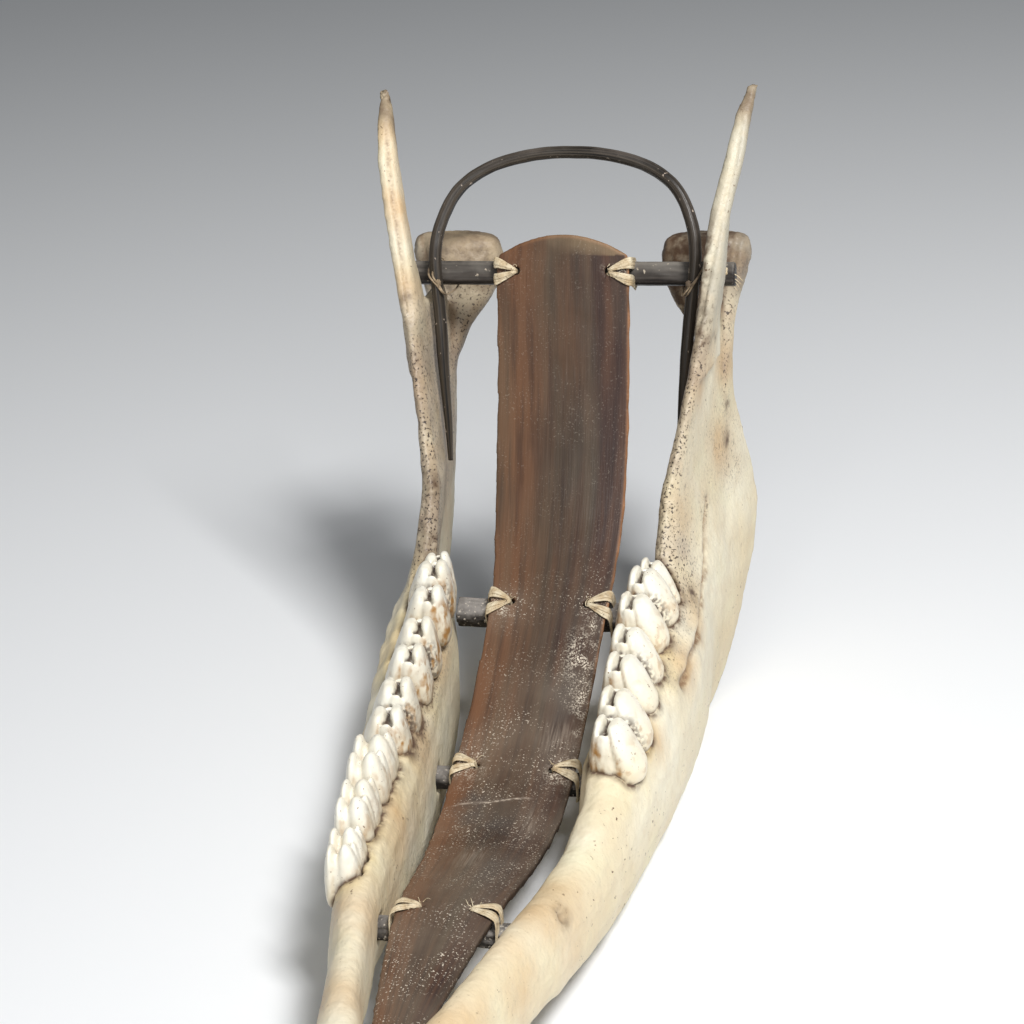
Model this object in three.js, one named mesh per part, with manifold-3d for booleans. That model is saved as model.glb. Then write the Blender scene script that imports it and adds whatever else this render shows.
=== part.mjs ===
// A model sled whose runners are the two halves of a deer's lower jaw.
// A plate of dark horn is lashed to four crossbars between the halves, and a thin hoop stands at the back.
// Millimetres, +Z up, -Y at the chin, +Y at the jaw joints, +X to the right as seen from the chin.

import * as THREE from 'three';
import { mergeVertices } from 'three/addons/utils/BufferGeometryUtils.js';
import Module from 'manifold-3d';

const wasm = await Module();
wasm.setup();

// Driving dimensions

const CHIN_TO_ORIGIN = 131.95; // from the tip of the chin back to the middle of the sled
const CHIN_OFFSET = 9.6; // half the spacing of the two jaw axes at the chin
const JAW_TOE = THREE.MathUtils.degToRad(6.5); // each half opens outwards towards the back
const JAW_LEAN = THREE.MathUtils.degToRad(-2.7); // and leans in at the top
const CLEARANCE = 0.35; // between pieces that touch

const LOBE_LENGTH = 10; // a molar lobe along the tooth row
const MOLAR_WIDTH = 11;
const ROOT_DEPTH = 4; // how far a crown reaches into its socket

const PLATE_THICKNESS = 2.2;
const PLATE_CROWN = 1; // the plate is higher along its middle
const PLATE_END_ARC = 4.8; // its back end is rounded
const HOOP_RADIUS = 1.5;
const SINEW_THICKNESS = 1.2; // a flat bundle of strands
const SINEW_WIDTH = 2.2;
const TIE_HOLE_RADIUS = 1.7;
const TIE_HOLE_INSET = 5; // from the plate's edge to the middle of a tie hole

const COLOURS = {
  bone: { color: 0xe6d9b8, roughness: 0.55 },
  enamel: { color: 0xf0eadb, roughness: 0.3 },
  horn: { color: 0x4a352a, roughness: 0.45 },
  bar: { color: 0x4b4744, roughness: 0.6 },
  sinew: { color: 0xd9c79a, roughness: 0.7 },
};

// Helpers: tables of hand-measured stations, deformed stock geometry, solids for cutting and joining

// Smooth values between rows of [position, value, value, ...]
function stations(rows) {
  return (position) => {
    let i = 0;
    while (i < rows.length - 2 && position > rows[i + 1][0]) i += 1;
    const [before, a, b, after] = [rows[i - 1] ?? rows[i], rows[i], rows[i + 1], rows[i + 2] ?? rows[i + 1]];
    const span = b[0] - a[0];
    const u = THREE.MathUtils.clamp((position - a[0]) / span, 0, 1);
    return a.slice(1).map((start, k) => {
      const end = b[k + 1];
      const slopeStart = ((end - before[k + 1]) / (b[0] - before[0])) * span;
      const slopeEnd = ((after[k + 1] - start) / (after[0] - a[0])) * span;
      return (2 * u ** 3 - 3 * u ** 2 + 1) * start + (u ** 3 - 2 * u ** 2 + u) * slopeStart
        + (3 * u ** 2 - 2 * u ** 3) * end + (u ** 3 - u ** 2) * slopeEnd;
    });
  };
}

// Moves every vertex of a stock geometry to where place(vertex) says
function shaped(geometry, place) {
  const plain = geometry.clone();
  plain.deleteAttribute('normal');
  plain.deleteAttribute('uv');
  const merged = mergeVertices(plain, 1e-5);
  const points = merged.getAttribute('position');
  const v = new THREE.Vector3();
  for (let i = 0; i < points.count; i += 1) {
    v.fromBufferAttribute(points, i);
    const to = place(v);
    points.setXYZ(i, to.x, to.y, to.z);
  }
  return mergeVertices(merged, 1e-4);
}

// A closed body with rings of points at the given positions, along Y of a stock cylinder
function ringed(positions, sides, ring) {
  const rows = positions.length - 1;
  const stock = new THREE.CylinderGeometry(1, 1, 1, sides, rows);
  return shaped(stock, (v) => {
    const row = Math.round((v.y + 0.5) * rows);
    const radius = Math.hypot(v.x, v.z);
    const angle = Math.atan2(v.x, v.z);
    return ring(positions[row], radius, angle);
  });
}

// Cosine and sine with squarer corners as the power falls below 1
const squared = (value, power) => Math.sign(value) * Math.abs(value) ** power;
const BODY_CORNERS = 0.82;
const BLADE_EDGES = 0.9;
const BLADE_FACES = 0.55;
const CONDYLE_CORNERS = 0.8;
const BAR_CORNERS = 0.6;

function solid(geometry) {
  return new wasm.Manifold(new wasm.Mesh({
    numProp: 3,
    vertProperties: new Float32Array(geometry.getAttribute('position').array),
    triVerts: new Uint32Array(geometry.index.array),
  }));
}

function geometryOf(manifold) {
  const mesh = manifold.getMesh();
  const geometry = new THREE.BufferGeometry();
  geometry.setAttribute('position', new THREE.BufferAttribute(mesh.vertProperties.slice(), 3));
  geometry.setIndex(new THREE.BufferAttribute(mesh.triVerts.slice(), 1));
  return geometry;
}

// The same shape on the other side of the sled
function mirrored(geometry) {
  const copy = geometry.clone();
  copy.scale(-1, 1, 1);
  const index = copy.index.array;
  for (let i = 0; i < index.length; i += 3) {
    [index[i + 1], index[i + 2]] = [index[i + 2], index[i + 1]];
  }
  return copy;
}

function piece(name, geometry, look) {
  const mesh = new THREE.Mesh(geometry, new THREE.MeshStandardMaterial({ ...COLOURS[look], metalness: 0 }));
  mesh.name = name;
  return mesh;
}

// A jaw half in its own frame: X outwards, Y along the jaw from the chin, Z up

// Distance from the chin, low edge, high edge, inner face, outer face, how far inwards the low edge lies
const BODY = [
  [0, 24, 28, -7.6, 1, 0],
  [6, 21.5, 31.5, -8.6, 2.6, 0],
  [16, 20, 34, -9.9, 2.8, 0],
  [30, 19.2, 35, -11.2, 2.2, 0],
  [42, 17.8, 34.5, -8.8, 1.2, -0.4],
  [55, 15.8, 33.6, -6.2, 1.6, -0.6],
  [70, 13, 33.2, -5.6, 2.8, -0.6],
  [84, 10.4, 33.2, -4.9, 4.8, -0.5],
  [98, 7.6, 33.2, -5.6, 6.2, -0.2],
  [112, 4.8, 33.2, -6.6, 7.4, 0.4],
  [126, 2.2, 33.6, -7.2, 8.2, 1.2],
  [140, 0.2, 34.4, -7.8, 9, 1.6],
  [155, -0.8, 36.6, -8.4, 9.6, 1.8],
  [170, -1, 39.2, -9, 9.8, 1.8],
  [185, -0.6, 42.2, -9.4, 9.2, 1.2],
  [197, 0.8, 45, -7.6, 7.6, 0.6],
  [210, 5, 44, -4.6, 5.6, 0],
  [222, 12, 38, -0.6, 4.4, 0],
];
// The right half has lost its premolars, and the bone there has sunk and narrowed.
// Distance from the chin, drop of the high edge, how far the inner face moves outwards
const HEALED = [
  [60, 0, 0],
  [84, 3, 0.3],
  [98, 5.6, 0.7],
  [112, 6, 2.8],
  [124, 4, 3.2],
  [134, 0.6, 1.6],
  [142, 0, 0],
];
const BODY_SIDES = 14;
const bodyAt = stations(BODY);
const healedAt = stations(HEALED);
const HIGH_INSET = 0.7; // how far inwards the high edge lies

function bodySolid(healed) {
  const geometry = ringed(BODY.map((row) => row[0]), BODY_SIDES, (s, radius, angle) => {
    const [low, fullHeight, fullInner, outer, lowInset] = bodyAt(s);
    const [drop, narrowing] = healed ? healedAt(s) : [0, 0];
    const high = fullHeight - drop;
    const inner = fullInner + narrowing;
    const up = squared(Math.cos(angle), BODY_CORNERS) * radius;
    const out = squared(Math.sin(angle), BODY_CORNERS) * radius;
    const inset = Math.abs(up) * (up < 0 ? lowInset : HIGH_INSET);
    return new THREE.Vector3(
      (inner + outer) / 2 + (out * (outer - inner)) / 2 - inset,
      s,
      (low + high) / 2 + (up * (high - low)) / 2,
    );
  });
  return solid(geometry);
}

// A thin upright blade, sliced level, and thinner in its middle than along its edges.
// Height, front edge, back edge, middle at the front, middle at the back, half thickness at the front, at the back
function bladeSolid(rows, sides, hollow, shiftAt) {
  const at = stations(rows);
  const geometry = ringed(rows.map((row) => row[0]), sides, (z, radius, angle) => {
    const [front, back, sideFront, sideBack, halfFront, halfBack] = at(z);
    const along = -squared(Math.cos(angle), BLADE_EDGES) * radius;
    const across = squared(Math.sin(angle), BLADE_FACES) * radius;
    const share = (1 - along) / 2;
    const half = THREE.MathUtils.lerp(halfBack, halfFront, share) * (1 - hollow * (1 - along ** 2));
    const [shiftFront, shiftBack] = shiftAt(z);
    return new THREE.Vector3(
      THREE.MathUtils.lerp(sideBack + shiftBack, sideFront + shiftFront, share) + across * half,
      (front + back) / 2 + (along * (back - front)) / 2,
      z,
    );
  });
  return solid(geometry);
}

const RAMUS = [
  [1.6, 204, 218, 1, 1, 1.4, 1.4],
  [6, 196, 228, 1, 1.4, 2.6, 2.4],
  [16, 187, 240, 1, 2.4, 4, 3.8],
  [28, 185, 253, 1, 2.8, 5, 5],
  [39, 187, 260.5, 1, 2.6, 5.6, 5.2],
  [50, 194, 260.5, -0.9, 1.8, 4.6, 4.8],
  [62, 203.5, 259, -1.4, 0.6, 3.6, 4.2],
  [75, 211, 257, 0.8, -0.4, 2.8, 3.4],
  [88, 217.5, 256, 3.2, -0.6, 2.6, 2.8],
  [99.6, 222.5, 250, 5, 0.4, 2.4, 2.4],
];
const CORONOID = [
  [86, 217.5, 240, 3.2, 2.6, 2.4, 2.2],
  [99, 222.6, 238, 5, 4, 2.5, 2.2],
  [110, 227.6, 237.8, 7, 6.6, 2.7, 2.2],
  [121, 233.4, 241.8, 9.3, 8.8, 2.7, 2.2],
  [132, 240.2, 247.6, 11.6, 11, 2.6, 2],
  [141, 247, 252.8, 12.6, 12.2, 2.2, 1.6],
  [147, 253.6, 256.4, 13.1, 13.1, 1.3, 1],
];
// How far outwards the two halves' blades stand from those rows: height, at the front edge, at the back edge
const RIGHT_BLADE_SHIFT = [
  [0, 0, 0],
  [28, 0, 1.6],
  [50, -0.6, 1.8],
  [62, -0.4, 1.4],
  [75, 0, 0.8],
  [88, 0.2, 0.8],
  [99, 0.3, 0.6],
  [110, -0.6, 0.3],
  [121, -1.5, -1.5],
  [132, -1.2, -1],
  [141, -0.8, -0.2],
  [147, 0, 0.3],
];
const LEFT_BLADE_SHIFT = [[0, 0, 0], [99, 0, 0], [121, 0.2, 0], [147, 0.3, 0]];
const RAMUS_SIDES = 14;
const RAMUS_HOLLOW = 0.5; // share of its thickness lost in the middle
const CORONOID_SIDES = 8;
const CONDYLE_SIDES = 12;
// Height, front edge, back edge, inner end, outer end
const CONDYLE = [
  [66, 245, 257, -1.2, 3.6],
  [78, 248, 259, -3, 3.6],
  [86, 250.5, 261.5, -6.4, 4.2],
  [92, 253.5, 265, -11, 5.4],
  [97, 254.5, 268, -14, 7],
  [103, 255.2, 268.4, -14.5, 8.8],
  [107, 256.8, 267, -13.5, 8.2],
  [108.4, 259, 264.6, -11, 5.6],
];

function condyleSolid() {
  const at = stations(CONDYLE);
  const geometry = ringed(CONDYLE.map((row) => row[0]), CONDYLE_SIDES, (z, radius, angle) => {
    const [front, back, inner, outer] = at(z);
    const along = -squared(Math.cos(angle), CONDYLE_CORNERS) * radius;
    const across = squared(Math.sin(angle), CONDYLE_CORNERS) * radius;
    return new THREE.Vector3(
      (inner + outer) / 2 + (across * (outer - inner)) / 2,
      (front + back) / 2 + (along * (back - front)) / 2,
      z,
    );
  });
  return solid(geometry);
}

// Teeth, each a few lobes joined.
// A lobe: its middle along the row, its middle across, height of its highest cusp, and size beside a full molar lobe
const TEETH = {
  molar_3: [[192.4, -2.6, 52.4, 0.74], [185.3, -2.4, 53.6, 1], [176.3, -2.4, 51.6, 1]],
  molar_2: [[165.9, -1.3, 48.8, 1], [156.9, -0.4, 46.8, 1]],
  molar_1: [[146.5, 1, 44.2, 1], [137.5, 1.9, 42.2, 1]],
  premolar_3: [[125.6, 2.4, 42.6, 0.94], [117.6, 2.6, 43.2, 0.86]],
  premolar_2: [[109, 3, 42.2, 0.72], [103.4, 3.3, 41.6, 0.68]],
  premolar_1: [[95.4, 3.5, 39.6, 0.62], [90.8, 3.6, 38.8, 0.54]],
};
const RIGHT_TEETH = ['molar_1', 'molar_2', 'molar_3'];
const LEFT_TEETH = Object.keys(TEETH);
const CROWN_HEIGHT = 10.4;

// Share of the lobe's radius and height above the root's end, from the pit in the crown outwards and down
const LOBE_PROFILE = [[0, 0.76], [0.36, 0.97], [0.7, 1], [1, 0.66], [0.82, 0.22], [0.72, 0], [0, 0]];
const LOBE_SIDES = 8;
const CUSP_DIP = 2.2; // the crown dips between its outer and inner cusps

// A root socket is the same shape, a little wider and deeper
function lobeSolid([along, across, top, size], { flank, toothShift }, grow) {
  const profile = LOBE_PROFILE.map(([r, h]) => new THREE.Vector2(r, h)).reverse();
  const stock = new THREE.LatheGeometry(profile, LOBE_SIDES);
  const height = CROWN_HEIGHT + ROOT_DEPTH;
  const halfLength = (LOBE_LENGTH / 2) * size;
  const halfWidth = (MOLAR_WIDTH / 2) * (0.4 + 0.6 * size);
  return solid(shaped(stock, (v) => {
    const radius = Math.hypot(v.x, v.z);
    const angle = Math.atan2(v.x, v.z);
    const dip = v.y > 0.6 ? CUSP_DIP * radius * Math.cos(angle) ** 2 : 0;
    const flare = v.x > 0 && v.y > 0.1 ? 1 + flank * Math.min(1, (1.1 - v.y) / 0.6) : 1;
    return new THREE.Vector3(
      across + toothShift + v.x * flare * halfWidth + Math.sign(v.x) * grow * (radius > 0 ? 1 : 0),
      along - v.z * (halfLength + grow),
      top - height + v.y * height - dip - grow,
    );
  }));
}

const toothSolid = (lobes, jaw, grow = 0) => lobes
  .map((lobe) => lobeSolid(lobe, jaw, grow))
  .reduce((whole, lobe) => whole.add(lobe));

// Front teeth: small spades that fan out from the chin
const INCISORS = 4;
const INCISOR_LEAN = THREE.MathUtils.degToRad(130); // forwards and up
const INCISOR_FAN = [4, 30].map(THREE.MathUtils.degToRad); // of the innermost and the outermost
const INCISOR_HALF_WIDTH = [2, 1.1];
const INCISOR_HALF_LENGTH = 7.6;
const INCISOR_NECK = 1.9; // half thickness in the bone
const INCISOR_EDGE = 1.1; // half thickness at the cutting edge
const INCISOR_ROW_START = new THREE.Vector3(-5.3, 0.4, 30.2);
const INCISOR_ROW_SPAN = new THREE.Vector3(7.8, 3.2, -0.8);

function incisorGeometry(number, grow = 0) {
  const spread = number / (INCISORS - 1);
  const stock = new THREE.SphereGeometry(1, 6, 6);
  const fan = THREE.MathUtils.lerp(...INCISOR_FAN, spread);
  const turn = new THREE.Matrix4().makeRotationFromEuler(new THREE.Euler(INCISOR_LEAN, 0, fan, 'ZYX'));
  const half = THREE.MathUtils.lerp(...INCISOR_HALF_WIDTH, spread) + grow;
  const middle = INCISOR_ROW_SPAN.clone().multiply(new THREE.Vector3(spread ** 0.9, spread ** 1.7, spread));
  middle.add(INCISOR_ROW_START);
  return shaped(stock, (v) => {
    const blade = 0.75 + 0.35 * Math.max(0, v.y);
    const thick = (v.y > 0 ? INCISOR_EDGE : INCISOR_NECK) + grow;
    return new THREE.Vector3(v.x * half * blade, v.y * (INCISOR_HALF_LENGTH + grow), v.z * thick)
      .applyMatrix4(turn)
      .add(middle);
  });
}

// The plate runs from the back of the sled down and forwards: row, x, y, z, half width
const PLATE_ROUTE = [
  [0, -0.3, 239.8, 109.4, 15.6],
  [1, -0.3, 238.2, 105.8, 16.1],
  [2, 0.2, 232.6, 93.5, 16.1],
  [3, 0.7, 225.6, 79.6, 16],
  [4, 1.1, 217.6, 66.6, 15.9],
  [5, 1.6, 207.8, 54.6, 15.4],
  [6, 1.9, 197.4, 45.6, 14.5],
  [7, 1.8, 187.6, 39.4, 13.8],
  [8, 1, 170.6, 28.6, 13.5],
  [9, 0.2, 150.6, 19.4, 13.5],
  [10, 0, 132, 16.8, 13],
  [11, 0, 111, 20, 11.6],
  [12, 0, 88, 26, 9.9],
  [13, 0, 66, 27.2, 7.2],
  [14, 0, 48, 26.6, 4.4],
];
const plateAt = stations(PLATE_ROUTE);

// A frame on the plate: its middle, the way forwards along it, and its upper normal
function plateFrame(row) {
  const point = (r) => new THREE.Vector3(...plateAt(r).slice(0, 3));
  const forward = point(Math.min(row + 0.2, 14)).sub(point(Math.max(row - 0.2, 0))).normalize();
  const normal = forward.clone().cross(new THREE.Vector3(1, 0, 0)).normalize();
  return { middle: point(row), forward, normal, half: plateAt(row)[3] };
}

const PLATE_ROWS = PLATE_ROUTE.length - 1;

function plateGeometry() {
  const stock = new THREE.BoxGeometry(2, 1, PLATE_ROWS, 4, 1, PLATE_ROWS);
  return shaped(stock, (v) => {
    const row = v.z + PLATE_ROWS / 2;
    const { middle, forward, normal, half } = plateFrame(row);
    const bulge = 1 - v.x ** 2;
    return middle
      .add(new THREE.Vector3(v.x * half, 0, 0))
      .addScaledVector(normal, v.y * PLATE_THICKNESS + bulge * PLATE_CROWN)
      .addScaledVector(forward, row === 0 ? -bulge * PLATE_END_ARC : 0);
  });
}

// Crossbars lie under the plate: row of the plate, half length, height and depth of the section
const BARS = [
  { name: 'crossbar_1', row: 1, half: 41, tall: 5.8, deep: 6 },
  { name: 'crossbar_2', row: 6.85, half: 20.7, tall: 6, deep: 6.8 },
  { name: 'crossbar_3', row: 9, half: 21.5, tall: 4.4, deep: 5.4 },
  { name: 'crossbar_4', row: 12.05, half: 16.5, tall: 4.4, deep: 5.4 },
];

function barFrame({ row, tall }) {
  const { middle, forward, normal, half } = plateFrame(row);
  middle.addScaledVector(normal, -(PLATE_THICKNESS / 2 + tall / 2 + CLEARANCE));
  return { middle, forward, normal, plateHalf: half };
}

function barGeometry(bar, grow = 0) {
  const { middle, forward, normal } = barFrame(bar);
  const stock = new THREE.CylinderGeometry(1, 1, 1, 10, 1);
  return shaped(stock, (v) => new THREE.Vector3(v.y * 2 * (bar.half + grow), middle.y, middle.z)
    .addScaledVector(forward, squared(v.x, BAR_CORNERS) * (bar.deep / 2 + grow))
    .addScaledVector(normal, squared(v.z, BAR_CORNERS) * (bar.tall / 2 + grow)));
}

// A closed loop of sinew through the given points, from a stock ring
function loopGeometry(points, across) {
  const route = new THREE.CatmullRomCurve3(points, true);
  const stock = new THREE.TorusGeometry(2, 1, 4, points.length);
  return shaped(stock, (v) => {
    const turn = (Math.atan2(v.y, v.x) / (2 * Math.PI) + 1) % 1;
    const i = Math.round(turn * points.length) % points.length;
    const tangent = route.getTangent(i / points.length);
    const out = tangent.clone().cross(across).normalize();
    const side = out.clone().cross(tangent).normalize();
    return points[i].clone()
      .addScaledVector(out, ((Math.hypot(v.x, v.y) - 2) * SINEW_THICKNESS) / 2)
      .addScaledVector(side, (v.z * SINEW_WIDTH) / 2);
  });
}

// Either side of a lashing, from the plate's edge down and under the bar:
// how far beyond the plate's edge it lies, and how far it spreads as a share of its full width
const LASHING_OVERHANG = [-0.2, 2.1, 1.5, 1];
const LASHING_SPREAD = [0.8, 1, 1, 0.62];
const LASHING_LIFT = 0.5; // over the plate's edge

// A lashing starts over a hole in the plate, spreads to the plate's edge and passes round under the bar
function lashingGeometry(bar, sign) {
  const { middle, forward, normal, plateHalf } = barFrame(bar);
  const over = bar.tall / 2 + CLEARANCE + PLATE_THICKNESS;
  const edge = plateHalf + plateAt(bar.row)[0] * sign;
  const gap = SINEW_THICKNESS / 2 + 2 * CLEARANCE;
  const side = bar.deep / 2 + gap;
  const heights = [over + gap + LASHING_LIFT, over, -bar.tall / 4, -bar.tall / 2 - gap];
  const at = (x, f, n) => new THREE.Vector3(sign * x, middle.y, middle.z)
    .addScaledVector(forward, f)
    .addScaledVector(normal, n);
  const halfLoop = (way) => LASHING_OVERHANG
    .map((out, i) => at(edge + out, way * side * LASHING_SPREAD[i], heights[i]));
  const hole = at(edge - TIE_HOLE_INSET, 0, over + gap + PLATE_CROWN / 2);
  return loopGeometry([hole, ...halfLoop(1), ...halfLoop(-1).reverse()], new THREE.Vector3(1, 0, 0));
}

function tieHoleSolid(bar, sign) {
  const { normal, forward, middle, half } = plateFrame(bar.row);
  const stock = new THREE.CylinderGeometry(TIE_HOLE_RADIUS, TIE_HOLE_RADIUS, 8, 6, 1);
  const x = sign * (half - TIE_HOLE_INSET);
  return solid(shaped(stock, (v) => middle.clone()
    .add(new THREE.Vector3(v.x + x, 0, 0))
    .addScaledVector(normal, v.y)
    .addScaledVector(forward, v.z)));
}

// The hoop: half of its route, from the tip of a leg up to the crown of the arch
const HOOP_AT_BAR = [31.3, 235, 104];
const HOOP_HALF = [
  [28.4, 223.4, 62],
  [28.7, 225.4, 71],
  [29.6, 228.6, 84],
  [30.5, 232.6, 96],
  HOOP_AT_BAR,
  [31.7, 237.6, 111],
  [30.4, 241, 117.6],
  [26.5, 245, 124.4],
  [19.4, 248.4, 128.8],
  [9.8, 250.2, 131.2],
];
const HOOP_SHIFT = 0.3; // the arch stands a little right of the middle
const HOOP_CROWN = [0, 250.8, 131.8];
const HOOP_STEPS = 38;
const HOOP_TAPER = 0.55; // share of the thickness left at the tips of its legs
const HOOP_TIE_SLANT = 0.8;
const HOOP_TIE_CORNER = 0.84; // its corners' height as a share of its reach
const HOOP_TIE_ROUNDING = 1;
const HOOP_TIE_INSET = 0.45; // its middle lies inside the middle of the leg

function hoopGeometry() {
  const right = HOOP_HALF.map(([x, y, z]) => new THREE.Vector3(x + HOOP_SHIFT, y, z));
  const left = HOOP_HALF.map(([x, y, z]) => new THREE.Vector3(HOOP_SHIFT - x, y, z)).reverse();
  const crown = new THREE.Vector3(...HOOP_CROWN);
  const route = new THREE.CatmullRomCurve3([...right, crown, ...left]);
  const stock = new THREE.CylinderGeometry(1, 1, 1, 7, HOOP_STEPS);
  return shaped(stock, (v) => {
    const share = v.y + 0.5;
    const tangent = route.getTangentAt(share);
    const back = new THREE.Vector3(0, 1, 0).addScaledVector(tangent, -tangent.y).normalize();
    const side = tangent.clone().cross(back).normalize();
    const ends = Math.min(1, HOOP_TAPER + (0.5 - Math.abs(share - 0.5)) / 0.08 * (1 - HOOP_TAPER));
    return route.getPointAt(share)
      .addScaledVector(back, v.z * HOOP_RADIUS * ends)
      .addScaledVector(side, v.x * HOOP_RADIUS * ends);
  });
}

// A tie crosses slantwise over a leg of the hoop and behind the first bar
function hoopTieGeometry(sign) {
  const { middle } = barFrame(BARS[0]);
  const leg = new THREE.Vector3(...HOOP_AT_BAR);
  const gap = SINEW_THICKNESS / 2 + CLEARANCE;
  const front = leg.y - HOOP_RADIUS - gap - 4 * CLEARANCE;
  const back = middle.y + BARS[0].deep / 2 + gap + 2 * CLEARANCE;
  const reach = BARS[0].tall / 2 + gap + CLEARANCE;
  const at = (rise, y) => {
    const x = sign * (leg.x - HOOP_TIE_INSET + rise * HOOP_TIE_SLANT) + HOOP_SHIFT;
    return new THREE.Vector3(x, y, middle.z + rise);
  };
  const corner = reach * HOOP_TIE_CORNER;
  const loop = [
    at(0, front),
    at(corner, front + HOOP_TIE_ROUNDING),
    at(reach, middle.y - CLEARANCE),
    at(corner, back - HOOP_TIE_ROUNDING),
    at(0, back),
    at(-corner, back - HOOP_TIE_ROUNDING),
    at(-reach, middle.y - CLEARANCE),
    at(-corner, front - CLEARANCE),
  ];
  return loopGeometry(loop, new THREE.Vector3(sign, 0, -HOOP_TIE_SLANT).normalize());
}

const jawFrame = new THREE.Matrix4()
  .makeRotationFromEuler(new THREE.Euler(0, JAW_LEAN, -JAW_TOE, 'ZYX'))
  .setPosition(CHIN_OFFSET, 0, 0);
const jawFrameInverse = jawFrame.clone().invert();

// A half of the jaw in its own frame, with everything cut out of it that stands or lies in it
function jawSolid(jaw) {
  const shiftAt = stations(jaw.bladeShift);
  let bone = bodySolid(jaw.healed)
    .add(bladeSolid(RAMUS, RAMUS_SIDES, RAMUS_HOLLOW, shiftAt))
    .add(bladeSolid(CORONOID, CORONOID_SIDES, 0, shiftAt))
    .add(condyleSolid());
  for (const name of jaw.teeth) bone = bone.subtract(toothSolid(TEETH[name], jaw, CLEARANCE));
  for (let i = 0; i < INCISORS; i += 1) bone = bone.subtract(solid(incisorGeometry(i, CLEARANCE)));
  for (const bar of BARS) {
    bone = bone.subtract(solid(barGeometry(bar, CLEARANCE).applyMatrix4(jawFrameInverse)));
  }
  // Worn flat underneath, and kept off the other half where the two meet at the chin
  const floor = new THREE.BoxGeometry(200, 400, 20).translate(0, 130, -10);
  const middle = new THREE.BoxGeometry(100, 400, 400).translate(-50 + CLEARANCE / 2, 130, 0);
  for (const box of [floor, middle]) {
    bone = bone.subtract(solid(shaped(box, (v) => v).applyMatrix4(jawFrameInverse)));
  }
  return bone;
}

// The sled

const sled = new THREE.Group();
sled.position.set(0, -CHIN_TO_ORIGIN, 0);

// The outer flank of a crown spreads towards the bone, on the right half more than on the left,
// where the whole row stands further in
const SIDES = [
  {
    side: 'right',
    sign: 1,
    teeth: RIGHT_TEETH,
    healed: true,
    flank: 0.42,
    toothShift: 0,
    bladeShift: RIGHT_BLADE_SHIFT,
  },
  {
    side: 'left',
    sign: -1,
    teeth: LEFT_TEETH,
    healed: false,
    flank: 0.04,
    toothShift: -1.2,
    bladeShift: LEFT_BLADE_SHIFT,
  },
];
for (const jaw of SIDES) {
  const { side, sign, teeth } = jaw;
  const placed = (geometry) => (sign > 0 ? geometry : mirrored(geometry));
  const half = new THREE.Group();
  half.position.set(sign * CHIN_OFFSET, 0, 0);
  half.rotation.set(0, sign * JAW_LEAN, -sign * JAW_TOE, 'ZYX');
  half.add(piece(`${side}_jaw`, placed(geometryOf(jawSolid(jaw))), 'bone'));
  for (const name of teeth) {
    half.add(piece(`${side}_${name}`, placed(geometryOf(toothSolid(TEETH[name], jaw))), 'enamel'));
  }
  for (let i = 0; i < INCISORS; i += 1) {
    half.add(piece(`${side}_front_tooth_${i + 1}`, placed(incisorGeometry(i)), 'enamel'));
  }
  sled.add(half);
}

let plate = solid(plateGeometry());
BARS.forEach((bar, i) => {
  sled.add(piece(bar.name, barGeometry(bar), 'bar'));
  for (const { side, sign } of SIDES) {
    plate = plate.subtract(tieHoleSolid(bar, sign));
    sled.add(piece(`${side}_lashing_${i + 1}`, lashingGeometry(bar, sign), 'sinew'));
  }
});
sled.add(piece('plate', geometryOf(plate), 'horn'));
sled.add(piece('hoop', hoopGeometry(), 'bar'));
for (const { side, sign } of SIDES) sled.add(piece(`${side}_hoop_tie`, hoopTieGeometry(sign), 'sinew'));

const root = new THREE.Group();
root.add(sled);
export default root;
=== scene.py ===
import math

import bmesh
import bpy
import numpy as np
from mathutils import Matrix, Vector, noise
from mathutils.bvhtree import BVHTree


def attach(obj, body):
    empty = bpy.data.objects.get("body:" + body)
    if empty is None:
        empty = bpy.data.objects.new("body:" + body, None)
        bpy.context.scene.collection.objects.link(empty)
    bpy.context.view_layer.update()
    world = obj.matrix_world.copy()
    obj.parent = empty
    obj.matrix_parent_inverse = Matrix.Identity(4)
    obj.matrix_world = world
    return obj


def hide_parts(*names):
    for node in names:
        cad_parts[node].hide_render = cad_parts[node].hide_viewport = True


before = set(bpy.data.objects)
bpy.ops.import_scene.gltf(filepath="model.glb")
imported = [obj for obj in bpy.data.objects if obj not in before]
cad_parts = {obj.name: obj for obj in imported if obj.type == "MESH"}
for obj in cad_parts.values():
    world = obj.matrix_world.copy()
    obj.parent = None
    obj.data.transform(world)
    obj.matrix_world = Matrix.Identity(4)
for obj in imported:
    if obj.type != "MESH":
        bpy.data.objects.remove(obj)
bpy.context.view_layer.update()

noise.seed_set(1)  # so that noise_vector gives the same on each run

# A small sled. Its runners are the two halves of a deer's lower jaw, with a dark plate lashed between them.
# Tables and sizes are in millimetres, and +Y runs from the chin towards the jaw joints.

MM = 0.001
CHIN = 131.95  # from the chin back to the middle of the sled
JAW_AXIS = 9.6  # half the spacing of the two jaw axes at the chin
JAW_TOE = math.radians(6.5)
JAW_LEAN = math.radians(-2.7)
SIDES = {"right": 1, "left": -1}

PLATE_THICKNESS = 2.2
PLATE_CROWN = 1.0
PLATE_END_ARC = 4.8
TIE_HOLE_RADIUS = 1.05
TIE_HOLE_INSET = 5.0
SLACK = 0.35  # between pieces that touch

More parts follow.
